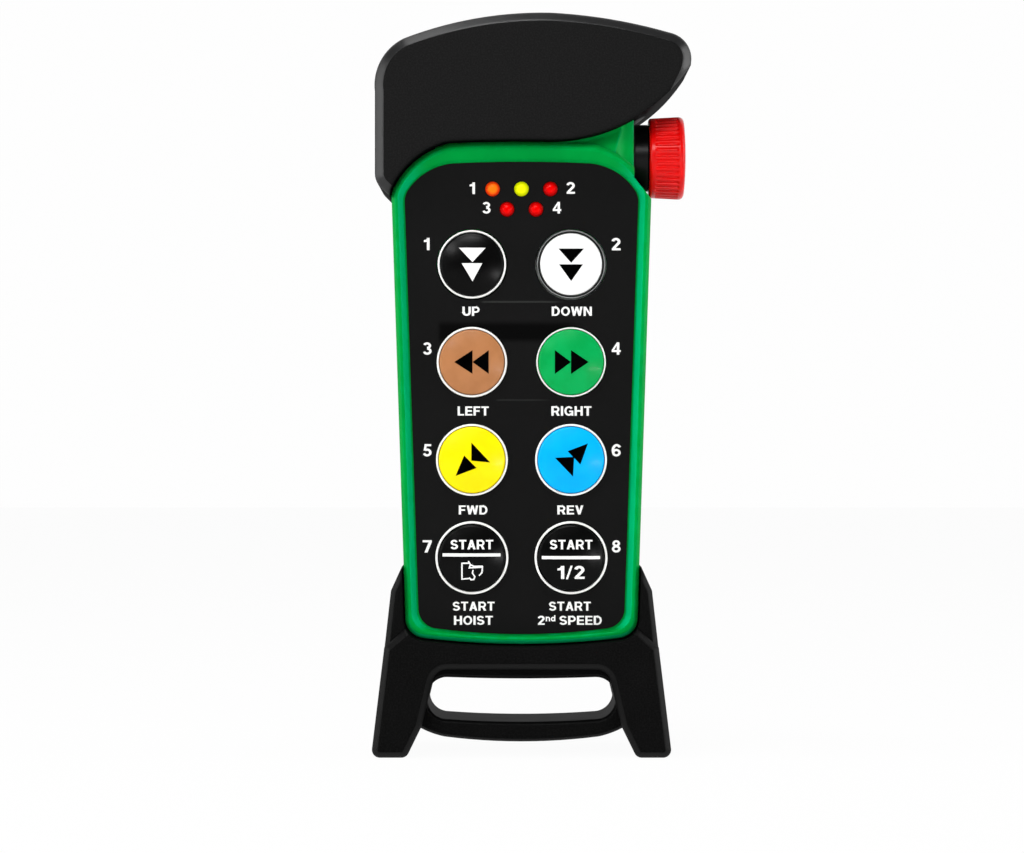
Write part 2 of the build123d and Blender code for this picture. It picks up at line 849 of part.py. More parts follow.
with BuildPart() as stop_plunger:
    with BuildSketch(stop_plane(knob_x + cup_depth + shaft_seat - running)):
        Circle(plunger_radius)
    extrude(amount=-(knob_x + cup_depth + shaft_seat - running - plunger_end))
    chamfer(stop_plunger.edges().filter_by(GeomType.CIRCLE), 0.5)
save(stop_plunger, "stop_plunger")

# Knob: a turned cup with a domed face and a band of grooves
groove_start = 2.6
groove_length = 6.9
with BuildPart() as stop_knob:
    with BuildSketch(
        Plane(origin=(axis_x + knob_x, 0, stop_height), x_dir=(1, 0, 0), z_dir=(0, -1, 0))
    ):
        with BuildLine():
            rim_in = collar_radius + 0.4
            face_radius = knob_radius - 1.8
            Polyline(
                (0, rim_in),
                (0, knob_radius - knob_flare - 0.5),
                (0.5, knob_radius - knob_flare),
                (knob_length - 2.0, knob_radius),
            )
            ThreePointArc(
                (knob_length - 2.0, knob_radius),
                (knob_length - 1.1, knob_radius - 0.55),
                (knob_length - 0.7, face_radius),
            )
            TangentArc((knob_length, 0), (knob_length - 0.7, face_radius), tangent=(0, 1))
            Polyline(
                (knob_length, 0),
                (cup_depth + shaft_seat, 0),
                (cup_depth + shaft_seat, plunger_radius + running),
                (cup_depth, plunger_radius + running),
                (cup_depth, rim_in),
                (0, rim_in),
            )
        make_face()
    revolve(axis=Axis((axis_x, 0, stop_height), (1, 0, 0)))
    with BuildSketch(stop_plane(knob_x + groove_start)):
        with PolarLocations(knob_radius - knob_flare / 2, knob_grooves):
            Circle(0.5)
    extrude(amount=groove_length, mode=Mode.SUBTRACT)
save(stop_knob, "stop_knob")

# Outline of the top guard, whose lower side is cut to shape afterwards
corner_in = 8.7
corner_drop = 7.7
tip_rise = 25.0
lip = (-half_width(shoulder_height), shoulder_height - 1.6)
side_low = (-guard_side, housing_top - 12.0)
side_high = (-guard_side, housing_top + 15.0)
left_crest = (corner_in - guard_side, housing_top + guard_rise - corner_drop)
crest = (8.6, housing_top + guard_rise)
right_crest = (guard_tip - 6.4, housing_top + guard_rise - 6.0)
tip = (guard_tip, housing_top + tip_rise)
tip_low = (guard_tip - 1.2, housing_top + 19.5)

# Top guard: an arched hollow block that reaches out over the stop knob
with BuildPart() as top_guard:
    with BuildSketch(face_plane(guard_y)) as guard_face:
        with BuildLine():
            Polyline(lip, side_low, side_high)
            ThreePointArc(side_high, (-guard_side + 2.4, housing_top + 25.4), left_crest)
            ThreePointArc(left_crest, (-13.9, housing_top + guard_rise - 1.75), crest)
            ThreePointArc(crest, (30.3, housing_top + guard_rise - 2.6), right_crest)
            ThreePointArc(right_crest, (guard_tip - 2.1, housing_top + 30.2), tip)
            TangentArc(tip, tip_low, tangent=(0, -1))
            Polyline(tip_low, (guard_tip - 11.0, housing_top), (0, housing_top - 12.0), lip)
        make_face()
        fillet(guard_face.vertices().sort_by_distance((*side_low, 0))[0], 6.0)
        fillet(guard_face.vertices().sort_by_distance((*left_crest, 0))[0], 8.0)
        fillet(guard_face.vertices().sort_by_distance((*right_crest, 0))[0], 4.0)
    extrude(amount=guard_depth)
    for end in (0, -1):
        chamfer(top_guard.faces().sort_by(Axis.Y)[end].edges(), guard_bevel)
    # Arched underside over the stop knob
    with BuildSketch(face_plane(guard_y)):
        with BuildLine():
            under_low = underside(under_start)
            under_end = underside(guard_tip + 3.0)
            ThreePointArc(under_low, underside(stop_face), under_end)
            Polyline(under_end, (under_end[0], stop_height), (under_start, stop_height), under_low)
        make_face()
    extrude(amount=guard_depth, mode=Mode.SUBTRACT)
    # Room for the housing, its crown and the stop knob
    with BuildSketch(face_plane(guard_y)):
        add(housing_outline(-guard_gap, -guard_gap, -guard_gap, corner_radius + guard_gap))
    extrude(amount=guard_depth, mode=Mode.SUBTRACT)
    with BuildSketch(face_plane(crown_depth / 2 + fit)):
        add(crown_outline(-fit))
        with Locations(((stop_face - crown_left) / 2, crown_top)):
            Rectangle(
                stop_face + crown_left - 2 * guard_wall,
                guard_rise - crown_rise - guard_wall,
                align=(Align.CENTER, Align.MIN),
            )
    extrude(amount=crown_depth + 2 * fit, mode=Mode.SUBTRACT)
    with BuildSketch(stop_plane(stop_face)):
        Circle(pocket_radius)
    extrude(amount=guard_tip, mode=Mode.SUBTRACT)
    # Bores for its two screws, sunk into the rear
    with BuildSketch(face_plane(guard_y)):
        with Locations(*guard_screw_places):
            Circle(screw_head + running)
    extrude(amount=guard_screw_sink, mode=Mode.SUBTRACT)
    with BuildSketch(face_plane(guard_y)):
        with Locations(*guard_screw_places):
            Circle(screw_radius + fit)
    extrude(amount=guard_depth / 2, mode=Mode.SUBTRACT)
save(top_guard, "top_guard")
guard_screw_seat = guard_y - guard_screw_sink
guard_screw_reach = guard_screw_seat - crown_depth / 2 + wall
screws("top_guard_screws", guard_screw_places, guard_screw_seat, 1.8, guard_screw_reach, pilot_radius)

# Outline of the lower guard's right half
arm_tip = (half_width(housing_bottom + arm_height), housing_bottom + arm_height)
arm_knee = (half_width(arm_tip[1] - 8.2) + arm_thick - 0.4, arm_tip[1] - 8.2)
arm_hip = (half_width(hip_height) + arm_thick + 1.7, housing_bottom + 1.3)
fold_in = (half_width(hip_height), housing_bottom + fold_rise)
fold_out = (arm_hip[0] + 0.25, housing_bottom - 0.8)
foot_out = (foot_reach + foot_spread, 0)
foot_in = (foot_reach - foot_width, 0)
leg_low = (slot_half + 1.6, 9.4)


def full_outline(*corners):
    """A closed outline from the corners of its right half, mirrored about the centreline."""
    with BuildSketch() as outline:
        with BuildLine():
            Polyline(*corners)
            mirror(about=Plane.YZ)
        make_face()
    return outline.sketch


# Arms beside the grip, shallower than the legs
with BuildPart() as arms:
    arm_low = (arch_half, arch_top + 1.0)
    with BuildSketch(face_plane(guard_y - arm_setback)):
        add(full_outline((0, arm_tip[1]), arm_tip, arm_knee, arm_hip, fold_out, arm_low, (0, arm_low[1])))
    extrude(amount=guard_depth - 2 * arm_setback)
    for end in (0, -1):
        chamfer(arms.faces().sort_by(Axis.Y)[end].edges(), arm_bevel)

# Bar across the legs, with the strap slot above it
with BuildPart() as bar:
    with BuildSketch(face_plane(bar_depth / 2)):
        with BuildLine():
            bar_end = (slot_half - 5.0, bar_low + bar_rise)
            bar_bend = (slot_half + 0.3, bar_low + 3.2)
            bar_root = (slot_half + 3.4, leg_low[1] - 0.5)
            bar_side = (slot_half + 5.0, arch_top + 2.0)
            ThreePointArc((-bar_end[0], bar_end[1]), (0, bar_low), bar_end)
            ThreePointArc(bar_end, bar_bend, bar_root)
            Polyline(bar_root, bar_side, (-bar_side[0], bar_side[1]), (-bar_root[0], bar_root[1]))
            ThreePointArc((-bar_root[0], bar_root[1]), (-bar_bend[0], bar_bend[1]), (-bar_end[0], bar_end[1]))
        make_face()
    extrude(amount=bar_depth)
    with BuildSketch(face_plane(bar_depth / 2)) as slot_face:
        with BuildLine():
            slot_low = (slot_half, bar_high + slot_sag)
            slot_high = (slot_half, slot_top + slot_crown)
            ThreePointArc((-slot_low[0], slot_low[1]), (0, bar_high), slot_low)
            Line(slot_low, slot_high)
            ThreePointArc(slot_high, (0, slot_top), (-slot_high[0], slot_high[1]))
            Line((-slot_high[0], slot_high[1]), (-slot_low[0], slot_low[1]))
        make_face()
        fillet(slot_face.vertices(), slot_radius)
    extrude(amount=bar_depth, mode=Mode.SUBTRACT)
    for end in (0, -1):
        chamfer(bar.faces().sort_by(Axis.Y)[end].edges(), bar_bevel)

# Lower guard: a yoke with two legs, closed below by the bar
with BuildPart() as lower_guard:
    with BuildSketch(face_plane(guard_y)) as yoke_face:
        add(
            full_outline(
                (0, fold_in[1]),
                fold_in,
                fold_out,
                foot_out,
                foot_in,
                leg_low,
                (arch_half, arch_top),
                (0, arch_top),
            )
        )
        fillet(yoke_face.vertices().filter_by_position(Axis.Y, -0.1, 0.1), foot_corner)
        fillet(yoke_face.vertices().filter_by_position(Axis.Y, leg_low[1] - 0.1, leg_low[1] + 0.1), 3.0)
        fillet(yoke_face.vertices().filter_by_position(Axis.Y, arch_top - 0.1, arch_top + 0.1), arch_radius)
    extrude(amount=guard_depth)
    for end in (0, -1):
        chamfer(lower_guard.faces().sort_by(Axis.Y)[end].edges(), yoke_bevel)
    add(arms.part)
    add(bar.part)
    # Room for the housing and its tenon
    with BuildSketch(face_plane(guard_y)):
        add(housing_outline(-guard_gap, -guard_gap, -guard_gap, corner_radius + guard_gap))
    extrude(amount=guard_depth, mode=Mode.SUBTRACT)
    with BuildSketch(face_plane(split_front + fit)):
        with Locations((0, housing_bottom + wall)):
            Rectangle(tenon_width + 2 * fit, wall + tenon_reach + fit, align=(Align.CENTER, Align.MAX))
    extrude(amount=split_front + 10.0 + 2 * fit, mode=Mode.SUBTRACT)
    # Screws go up into the housing from the roof of the slot
    with BuildSketch(Plane(origin=(axis_x, 0, slot_top - slot_crown), z_dir=(0, 0, 1))):
        with Locations(*yoke_screw_places):
            Circle(screw_head + running)
    extrude(amount=slot_crown + head_thick + 0.6, mode=Mode.SUBTRACT)
    with BuildSketch(Plane(origin=(axis_x, 0, slot_top), z_dir=(0, 0, 1))):
        with Locations(*yoke_screw_places):
            Circle(screw_radius + fit)
    extrude(amount=band_height, mode=Mode.SUBTRACT)
save(lower_guard, "lower_guard")

with BuildPart() as lower_guard_screws:
    with BuildSketch(Plane(origin=(axis_x, 0, slot_top + 0.6), z_dir=(0, 0, 1))):
        with Locations(*yoke_screw_places):
            Circle(screw_head)
    extrude(amount=head_thick)
    with BuildSketch(Plane(origin=(axis_x, 0, slot_top + 0.6 + head_thick), z_dir=(0, 0, 1))):
        with Locations(*yoke_screw_places):
            Circle(pilot_radius)
    extrude(amount=8.0)
    with BuildSketch(Plane(origin=(axis_x, 0, slot_top + 0.6), z_dir=(0, 0, 1))):
        with Locations(*yoke_screw_places):
            RegularPolygon(1.4, 6)
    extrude(amount=0.6 * head_thick, mode=Mode.SUBTRACT)
save(lower_guard_screws, "lower_guard_screws")
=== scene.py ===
import bpy
import bmesh
from math import cos, hypot, pi, radians, sin
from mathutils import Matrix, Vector


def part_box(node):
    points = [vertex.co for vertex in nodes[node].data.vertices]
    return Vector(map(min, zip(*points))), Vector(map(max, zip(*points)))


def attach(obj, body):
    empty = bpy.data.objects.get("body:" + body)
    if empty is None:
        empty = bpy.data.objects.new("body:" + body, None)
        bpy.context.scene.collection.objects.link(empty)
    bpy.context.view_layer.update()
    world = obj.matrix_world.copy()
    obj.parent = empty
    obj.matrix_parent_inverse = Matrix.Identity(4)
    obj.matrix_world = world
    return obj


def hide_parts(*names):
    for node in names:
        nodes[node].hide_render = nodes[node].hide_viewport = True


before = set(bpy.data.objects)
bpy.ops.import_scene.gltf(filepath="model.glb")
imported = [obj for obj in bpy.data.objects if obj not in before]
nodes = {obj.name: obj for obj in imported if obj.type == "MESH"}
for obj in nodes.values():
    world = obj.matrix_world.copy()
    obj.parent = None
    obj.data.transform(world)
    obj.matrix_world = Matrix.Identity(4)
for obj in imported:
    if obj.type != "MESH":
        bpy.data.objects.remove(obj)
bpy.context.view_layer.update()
mm = 0.001
print("frame loaded:", len(nodes), "nodes")


# places taken from the CAD frame, in metres
knobLow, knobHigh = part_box("stop_knob")
feetLow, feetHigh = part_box("lower_guard")
gripX = (feetLow.x + feetHigh.x) / 2  # centreline of the grip
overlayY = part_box("keypad_overlay")[0].y  # face of the panel sheet
stopZ = (knobLow.z + knobHigh.z) / 2


def frontPoint(node):
    # middle of a CAD node's front
    low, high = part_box(node)
    return Vector(((low.x + high.x) / 2, low.y, (low.z + high.z) / 2))


def tone(red, green, blue):
    # a screen colour as the shader wants it
    def straight(level):
        level = level / 255
        return level / 12.92 if level < 0.04 else ((level + 0.055) / 1.055) ** 2.4
    return (straight(red), straight(green), straight(blue), 1.0)


class Wire:
    # an output socket that can stand in a sum
    def __init__(self, graph, socket):
        self.graph = graph
        self.socket = socket

    def of(self, name):
        return Wire(self.graph, self.socket.node.outputs[name])

    def work(self, operation, *parts):
        values = {number: part for number, part in enumerate(parts)}
        return self.graph.node("ShaderNodeMath", {"operation": operation}, values)

    def __add__(self, other):
        return self.work("ADD", self, other)

    def __radd__(self, other):
        return self.work("ADD", other, self)

    def __sub__(self, other):
        return self.work("SUBTRACT", self, other)

    def __rsub__(self, other):
        return self.work("SUBTRACT", other, self)

    def __mul__(self, other):
        return self.work("MULTIPLY", self, other)

    def __rmul__(self, other):
        return self.work("MULTIPLY", other, self)

    def __truediv__(self, other):
        return self.work("DIVIDE", self, other)

    def __rtruediv__(self, other):
        return self.work("DIVIDE", other, self)

    def __neg__(self):
        return self.work("MULTIPLY", self, -1.0)

    def away(self):
        return self.work("ABSOLUTE", self)

    def step(self, low, high):
        # 0 below low, 1 above high, smooth between
        settings = {"interpolation_type": "SMOOTHSTEP"}
        values = {"Value": self, "From Min": low, "From Max": high}
        return self.graph.node("ShaderNodeMapRange", settings, values)


class Graph:
    # a node tree, for a material or for geometry, and the one way to add to it
    def __init__(self, tree):
        self.tree = tree

    def node(self, kind, settings=None, values=None):
        made = self.tree.nodes.new(kind)
        for name, setting in (settings or {}).items():
            setattr(made, name, setting)
        for name, value in (values or {}).items():
            if isinstance(value, Wire):
                self.tree.links.new(value.socket, made.inputs[name])
            else:
                made.inputs[name].default_value = value
        return Wire(self, made.outputs[0]) if made.outputs else made

    def mix(self, share, first, second):
        # colour from first to second
        settings = {"data_type": "RGBA"}
        made = self.node("ShaderNodeMix", settings, {0: share, 6: first, 7: second})
        return Wire(self, made.socket.node.outputs[2])

    def parts(self, vector):
        split = self.node("ShaderNodeSeparateXYZ", {}, {"Vector": vector})
        return split.of("X"), split.of("Y"), split.of("Z")

    def noise(self, place, size, detail=2.0, rough=0.5):
        # cloudy pattern whose patches are about size across
        values = {"Vector": place, "Scale": 1 / size, "Detail": detail, "Roughness": rough}
        return self.node("ShaderNodeTexNoise", {}, values)


class Finish(Graph):
    # one material: its coordinates, its softened edges and its surface
    def __init__(self, name, edge=0.4 * mm):
        self.material = bpy.data.materials.new(name)
        self.material.use_nodes = True
        super().__init__(self.material.node_tree)
        self.tree.nodes.clear()
        coordinates = self.node("ShaderNodeTexCoord")
        self.place = coordinates.of("Object")
        self.facing = coordinates.of("Normal")
        self.soft = None
        self.edge = 0.0
        if edge:
            self.soft = self.node("ShaderNodeBevel", {"samples": 6}, {"Radius": edge})
            flat = self.node("ShaderNodeNewGeometry").of("Normal")
            vectors = {0: self.soft, 1: flat}
            match = self.node("ShaderNodeVectorMath", {"operation": "DOT_PRODUCT"}, vectors)
            self.edge = (1.0 - match.of("Value")).step(0.02, 0.16)

    def relief(self, height, depth, strength=1.0):
        # bump over the softened edges
        values = {"Height": height, "Distance": depth, "Strength": strength}
        if self.soft:
            values["Normal"] = self.soft
        return self.node("ShaderNodeBump", {}, values)

    def grazing(self):
        # 1 where the surface is seen edge on, 0 where it is seen from the front
        return self.node("ShaderNodeLayerWeight", {}, {"Blend": 0.5}).of("Facing").step(0.4, 0.8)

    def surface(self, colour, rough, normal=None, dull=None, **fixed):
        # dull is the share of a plain matte skin
        values = {"Base Color": colour, "Roughness": rough}
        if normal:
            values["Normal"] = normal
        for name, value in fixed.items():
            values[name.replace("_", " ")] = value
        shader = self.node("ShaderNodeBsdfPrincipled", {}, values)
        if dull:
            plain = {"Base Color": colour, "Roughness": 0.8, "Specular IOR Level": 0.0}
            if normal:
                plain["Normal"] = normal
            plain = self.node("ShaderNodeBsdfPrincipled", {}, plain)
            shader = self.node("ShaderNodeMixShader", {}, {0: dull, 1: shader, 2: plain})
        self.node("ShaderNodeOutputMaterial", {}, {"Surface": shader})
        return self.material


def moulded(name, look):
    # plain moulded plastic: faint clouding, fine texture, edges worn smoother
    finish = Finish(name, look.get("edge", 0.4) * mm)
    cloud = finish.noise(finish.place, look.get("cloud", 14.0) * mm, 3.0)
    grain = finish.noise(finish.place, look.get("grain", 0.5) * mm, 2.0)
    swirl = finish.noise(finish.place, look.get("swirl", 4.0) * mm, 4.0)
    colour = finish.mix(cloud.step(0.3, 0.7), look["dark"], look["light"])
    # paler edges: real wear on the dark and inner parts, a painted highlight on the green housing and the
    # red knob
    if look.get("rub"):
        wearAndHighlight = finish.edge * swirl.step(0.35, 0.7) * look["rub"]
        colour = finish.mix(wearAndHighlight, colour, look["rubbed"])
    if look.get("side"):
        # painted highlight: paler on slopes that lean to the middle of the grip; painted light: paler low
        # down on those that face the floor
        x, y, z = finish.parts(finish.place)
        leanX, leanY, leanZ = finish.parts(finish.facing)
        across = x - gripX
        inward = -(leanX * across.work("SIGN", across))
        low = 1 - (z - look["lowTop"] * mm).step(0, look["lowFade"] * mm)
        under = leanZ.step(-0.2, -0.7) * low * look["paintedLightUnderShare"]
        pale = inward.step(0.3, 0.7) * look["paintedHighlightShare"]
        colour = finish.mix(pale.work("MAXIMUM", pale, under), colour, look["side"])
    rough = look["rough"] + (swirl - 0.5) * look.get("roughSpread", 0.12)
    rough = rough - finish.edge * look.get("polish", 0.08)
    height = grain + swirl * look.get("wave", 0.4)
    normal = finish.relief(height, look.get("bump", 0.02) * mm)
    dull = finish.grazing() * look["matte"] if look.get("matte") else None
    return finish.surface(colour, rough, normal, dull, Specular_IOR_Level=look.get("shine", 0.5),
                          Specular_Tint=look.get("tint", (1, 1, 1, 1)),
                          Coat_Weight=look.get("coat", 0.0), Coat_Roughness=look.get("coatRough", 0.1))


# housing green: satin skin over a faint moulding texture; its paler edges and inward slopes are a painted
# highlight, its paler low down-facing slopes painted light
greenLook = {"dark": tone(0, 144, 52), "light": tone(0, 154, 58), "rough": 0.34, "grain": 0.8,
             "bump": 0.006, "rub": 0.6, "rubbed": tone(0, 190, 130), "shine": 0.2,
             "tint": tone(0, 255, 190), "edge": 1.2, "cloud": 16.0, "side": tone(0, 186, 118),
             "paintedHighlightShare": 0.8, "paintedLightUnderShare": 0.7, "lowTop": 50, "lowFade": 20, "matte": 1.0}
housingGreen = moulded("housing green", greenLook)

# guard black: leathery grain on the flat faces, smooth bevels
guardLook = {"face": tone(3, 3, 3), "pale": tone(17, 17, 17), "band": tone(13, 13, 14),
             "edge": 1.8, "faceRough": 0.62, "bandRough": 0.3, "grain": 0.5, "bump": 0.05,
             "shine": 0.45, "matte": 0.93, "flatMatte": 0.75}
lowerLook = {"face": tone(6, 6, 6), "pale": tone(18, 18, 18), "band": tone(10, 10, 10),
             "edge": 1.6, "faceRough": 0.62, "bandRough": 0.34, "grain": 0.5, "bump": 0.04,
             "shine": 0.1, "matte": 0.8, "flatMatte": 0.75}


def guardFinish(name, look):
    finish = Finish(name, look["edge"] * mm)
    flat = finish.parts(finish.facing)[1].away().step(0.9, 0.985)  # faces that look forward or back
    cloud = finish.noise(finish.place, 9 * mm, 3.0)
    grain = finish.noise(finish.place, look["grain"] * mm, 3.0, 0.6)
    specks = grain.step(0.42, 0.62)
    face = finish.mix(specks * 0.6 + cloud * 0.4, look["face"], look["pale"])
    colour = finish.mix(flat, look["band"], face)
    rough = look["bandRough"] + flat * (look["faceRough"] - look["bandRough"]) + (cloud - 0.5) * 0.1
    height = grain * (0.15 + flat * 0.85)
    normal = finish.relief(height, look["bump"] * mm)
    matte = finish.grazing() * look["matte"]
    dull = matte.work("MAXIMUM", matte, flat * look["flatMatte"])
    return finish.surface(colour, rough, normal, dull, Specular_IOR_Level=look["shine"])


guardBlack = guardFinish("guard black", guardLook)
lowerBlack = guardFinish("lower guard black", lowerLook)

# the panel sheet: matte film with two faint raised lines painted pale as a highlight, and a band painted
# dark as a shadow
panelLook = {
    "base": tone(14, 14, 14), "pale": tone(21, 21, 21), "line": tone(58, 60, 58), "shade": tone(1, 1, 1),
    "rough": 0.6, "fadeIn": 1.6, "fadeOut": 6,
    # ends across from the centreline, height and half width of each, in millimetres
    "upperHighlightLine": (-12.6, 13.5, 136.65, 0.4), "lowerHighlightLine": (-8.2, 10.0, 107.1, 0.35),
    "band": (-25.6, 19.0, 127.6, 3.9),
}


def panelFinish(look):
    finish = Finish("panel black", 0.25 * mm)
    x, y, z = finish.parts(finish.place)
    grain = finish.noise(finish.place, 0.3 * mm, 2.0)
    cloud = finish.noise(finish.place, 25 * mm, 2.0)

    def stripe(left, right, height, half):
        # a level line that fades out at its ends
        begins = (x - (gripX + left * mm)).step(0, look["fadeIn"] * mm)
        ends = (x - (gripX + (right - look["fadeOut"]) * mm)).step(0, look["fadeOut"] * mm)
        away = (z - height * mm).away().step(half * 0.4 * mm, half * mm)
        return begins * (1 - ends) * (1 - away)

    # the lines are a painted highlight along raised steps, the band a painted shadow
    lines = stripe(*look["upperHighlightLine"]) + stripe(*look["lowerHighlightLine"]) * 0.5
    band = stripe(*look["band"])
    colour = finish.mix(cloud, look["base"], look["pale"])
    colour = finish.mix(lines * 0.5, colour, look["line"])
    colour = finish.mix(band, colour, look["shade"])
    height = grain * 0.5 + lines * 2.0 - band
    normal = finish.relief(height, 0.02 * mm)
    return finish.surface(colour, look["rough"] + cloud * 0.08, normal, Specular_IOR_Level=0.04)


panelBlack = panelFinish(panelLook)


def glossy(name, dark, light, **more):
    # hard shiny plastic of the caps, the knob and the collar
    look = {"dark": dark, "light": light, "rough": 0.22, "grain": 0.9, "bump": 0.002,
            "wave": 1.2, "roughSpread": 0.08, "coat": 0.35, "coatRough": 0.06, "cloud": 6.0,
            "edge": 0.3, "polish": 0.04}
    look.update(more)
    return moulded(name, look)


capFinishes = {
    "up": glossy("cap black", tone(0, 0, 0), tone(3, 3, 3), shine=0.1, coat=0.0, rough=0.2),
    "down": glossy("cap white", tone(242, 242, 241), tone(250, 250, 249), shine=0.2, coat=0.05),
    "left": glossy("cap tan", tone(171, 114, 71), tone(181, 122, 78), shine=0.15, coat=0.04),
    "right": glossy("cap green", tone(2, 158, 74), tone(5, 168, 84), shine=0.08, coat=0.03),
    "forward": glossy("cap yellow", tone(250, 226, 0), tone(253, 233, 0), shine=0.12, coat=0.03),
    "reverse": glossy("cap blue", tone(0, 172, 248), tone(0, 180, 253), shine=0.08, coat=0.03),
}
capFinishes["start"] = capFinishes["up"]
capFinishes["speed"] = capFinishes["up"]
# the knob's paler edges are a painted highlight
knobRed = glossy("knob red", tone(222, 3, 3), tone(236, 6, 5), rough=0.24, coat=0.0,
                 bump=0.002, edge=0.25, rub=0.4, rubbed=tone(248, 60, 56), shine=0.2, swirl=9.0, wave=0.3)
collarBlack = glossy("collar black", tone(3, 3, 3), tone(7, 7, 7), rough=0.3, shine=0.15, coat=0.0)
ringWhite = glossy("ring white", tone(236, 236, 232), tone(250, 250, 248), rough=0.38, coat=0.0,
                   edge=0.15)
ringDark = glossy("ring dark", tone(4, 4, 4), tone(10, 10, 10), rough=0.3, edge=0.15, coat=0.0,
                  shine=0.2)
ringLine = glossy("ring line", tone(120, 122, 122), tone(160, 162, 162), rough=0.35, edge=0.0)
markWhite = glossy("mark white", tone(240, 240, 238), tone(252, 252, 250), rough=0.45, coat=0.0,
                   edge=0.0)
markBlack = glossy("mark black", tone(1, 1, 1), tone(4, 4, 4), rough=0.5, edge=0.0, coat=0.0,
                   shine=0.0)
housingBlack = moulded("housing black", {
    "dark": tone(18, 18, 19), "light": tone(25, 25, 26), "rough": 0.55, "grain": 0.5, "bump": 0.035,
    "rub": 0.4, "rubbed": tone(60, 61, 62), "edge": 0.6, "shine": 0.18, "matte": 0.8})
sealRubber = moulded("seal rubber", {
    "dark": tone(20, 20, 20), "light": tone(34, 33, 32), "rough": 0.8, "grain": 0.3, "bump": 0.02,
    "shine": 0.25, "edge": 0.3})
chipBlack = moulded("chip black", {
    "dark": tone(22, 22, 24), "light": tone(38, 38, 40), "rough": 0.5, "grain": 0.2, "bump": 0.01,
    "rub": 0.5, "rubbed": tone(80, 80, 82), "edge": 0.2})
switchBody = moulded("switch body", {
    "dark": tone(40, 41, 46), "light": tone(56, 57, 62), "rough": 0.45, "grain": 0.3, "bump": 0.01,
    "rub": 0.3, "rubbed": tone(110, 110, 116), "edge": 0.3})
plungerGrey = moulded("plunger grey", {
    "dark": tone(120, 121, 124), "light": tone(142, 143, 146), "rough": 0.4, "grain": 0.4, "bump": 0.01,
    "rub": 0.4, "rubbed": tone(180, 180, 184), "edge": 0.3})
lightChip = moulded("light chip", {
    "dark": tone(225, 220, 170), "light": tone(244, 240, 200), "rough": 0.35, "grain": 0.2,
    "bump": 0.003, "edge": 0.1})
print("plastics made")


def metalFinish(name, dark, light, rough, stretch=(1, 1, 12)):
    # plated or brushed metal, its fine lines along the stretched axis
    finish = Finish(name, 0.15 * mm)
    drawn = finish.node("ShaderNodeMapping", {}, {"Vector": finish.place, "Scale": stretch})
    lines = finish.noise(drawn, 1.2 * mm, 4.0, 0.7)
    stain = finish.noise(finish.place, 3 * mm, 3.0)
    colour = finish.mix(lines * 0.6 + stain * 0.4, dark, light)
    normal = finish.relief(lines, 0.006 * mm)
    return finish.surface(colour, rough + (stain - 0.5) * 0.2 - finish.edge * 0.08, normal, Metallic=1.0)


screwSteel = metalFinish("screw steel", tone(150, 152, 156), tone(205, 207, 210), 0.34, (1, 1, 1))
metalCan = metalFinish("metal can", tone(176, 178, 180), tone(222, 222, 222), 0.3, (12, 1, 1))
contactMetal = metalFinish("contact metal", tone(196, 184, 148), tone(232, 220, 186), 0.28, (1, 1, 8))


def boardFinish():
    # solder mask over copper tracks, with plated holes for vias
    finish = Finish("board green", 0.1 * mm)
    x, y, z = finish.parts(finish.place)
    flat = finish.node("ShaderNodeCombineXYZ", {}, {"X": x, "Y": z, "Z": 0.0})
    tracks = finish.node("ShaderNodeTexBrick", {"offset": 0.35}, {
        "Vector": flat, "Scale": 190.0, "Mortar Size": 0.05, "Mortar Smooth": 0.2, "Bias": 0.0,
        "Brick Width": 0.9, "Row Height": 0.22})
    track = 1 - tracks.of("Fac")
    pores = finish.noise(finish.place, 0.4 * mm, 2.0)
    dots = finish.node("ShaderNodeTexVoronoi", {"feature": "F1"},
                       {"Vector": finish.place, "Scale": 260.0})
    via = 1 - dots.step(0.1, 0.14)
    colour = finish.mix(track, tone(14, 92, 52), tone(22, 118, 66))
    colour = finish.mix(via, colour, tone(206, 176, 96))
    normal = finish.relief(track * 0.6 + via * 0.5 + pores * 0.1, 0.03 * mm)
    return finish.surface(colour, 0.35 + pores * 0.1 - via * 0.1, normal, Coat_Weight=0.3,
                          Coat_Roughness=0.15)


def cellFinish():
    # shrink sleeve with one plain band, steel ends
    finish = Finish("cell wrap", 0.3 * mm)
    height = finish.parts(finish.place)[2]
    steel = finish.parts(finish.facing)[2].away().step(0.8, 0.9)
    drawn = finish.node("ShaderNodeMapping", {}, {"Vector": finish.place, "Scale": (1, 1, 0.25)})
    folds = finish.noise(drawn, 3 * mm, 3.0)
    band = (height - 96.5 * mm).step(0, 0.2 * mm) - (height - 100.5 * mm).step(0, 0.2 * mm)
    colour = finish.mix(folds, tone(70, 76, 84), tone(92, 98, 106))
    colour = finish.mix(band, colour, tone(196, 198, 196))
    colour = finish.mix(steel, colour, tone(196, 196, 196))
    normal = finish.relief(folds, 0.04 * mm)
    return finish.surface(colour, 0.3 + steel * 0.1, normal, Metallic=steel, Coat_Weight=0.2)


def lensFinish(name, middle, rim, glow):
    # tinted dome with a faint glow, painted brighter at its middle and darker towards its rim as the dome's
    # shading; the mesh carries how far out each point is
    finish = Finish(name, 0.0)
    out = finish.node("ShaderNodeAttribute", {"attribute_name": "rim"}).of("Fac")
    swirl = finish.noise(finish.place, 1.1 * mm, 2.0)
    colour = finish.mix((out + (swirl - 0.5) * 0.15).step(0.35, 0.95), middle, rim)
    normal = finish.relief(swirl, 0.01 * mm)
    return finish.surface(colour, 0.16 + swirl * 0.05, normal, Specular_IOR_Level=0.06,
                          Emission_Color=colour, Emission_Strength=glow)


boardGreen = boardFinish()
cellWrap = cellFinish()
lensFinishes = {
    "orange": lensFinish("lens orange", tone(248, 116, 10), tone(200, 44, 6), 0.2),
    "lime": lensFinish("lens lime", tone(234, 240, 2), tone(190, 200, 0), 0.15),
    "red": lensFinish("lens red", tone(224, 0, 0), tone(150, 0, 0), 0.15),
}
print("metals, boards and lenses made")

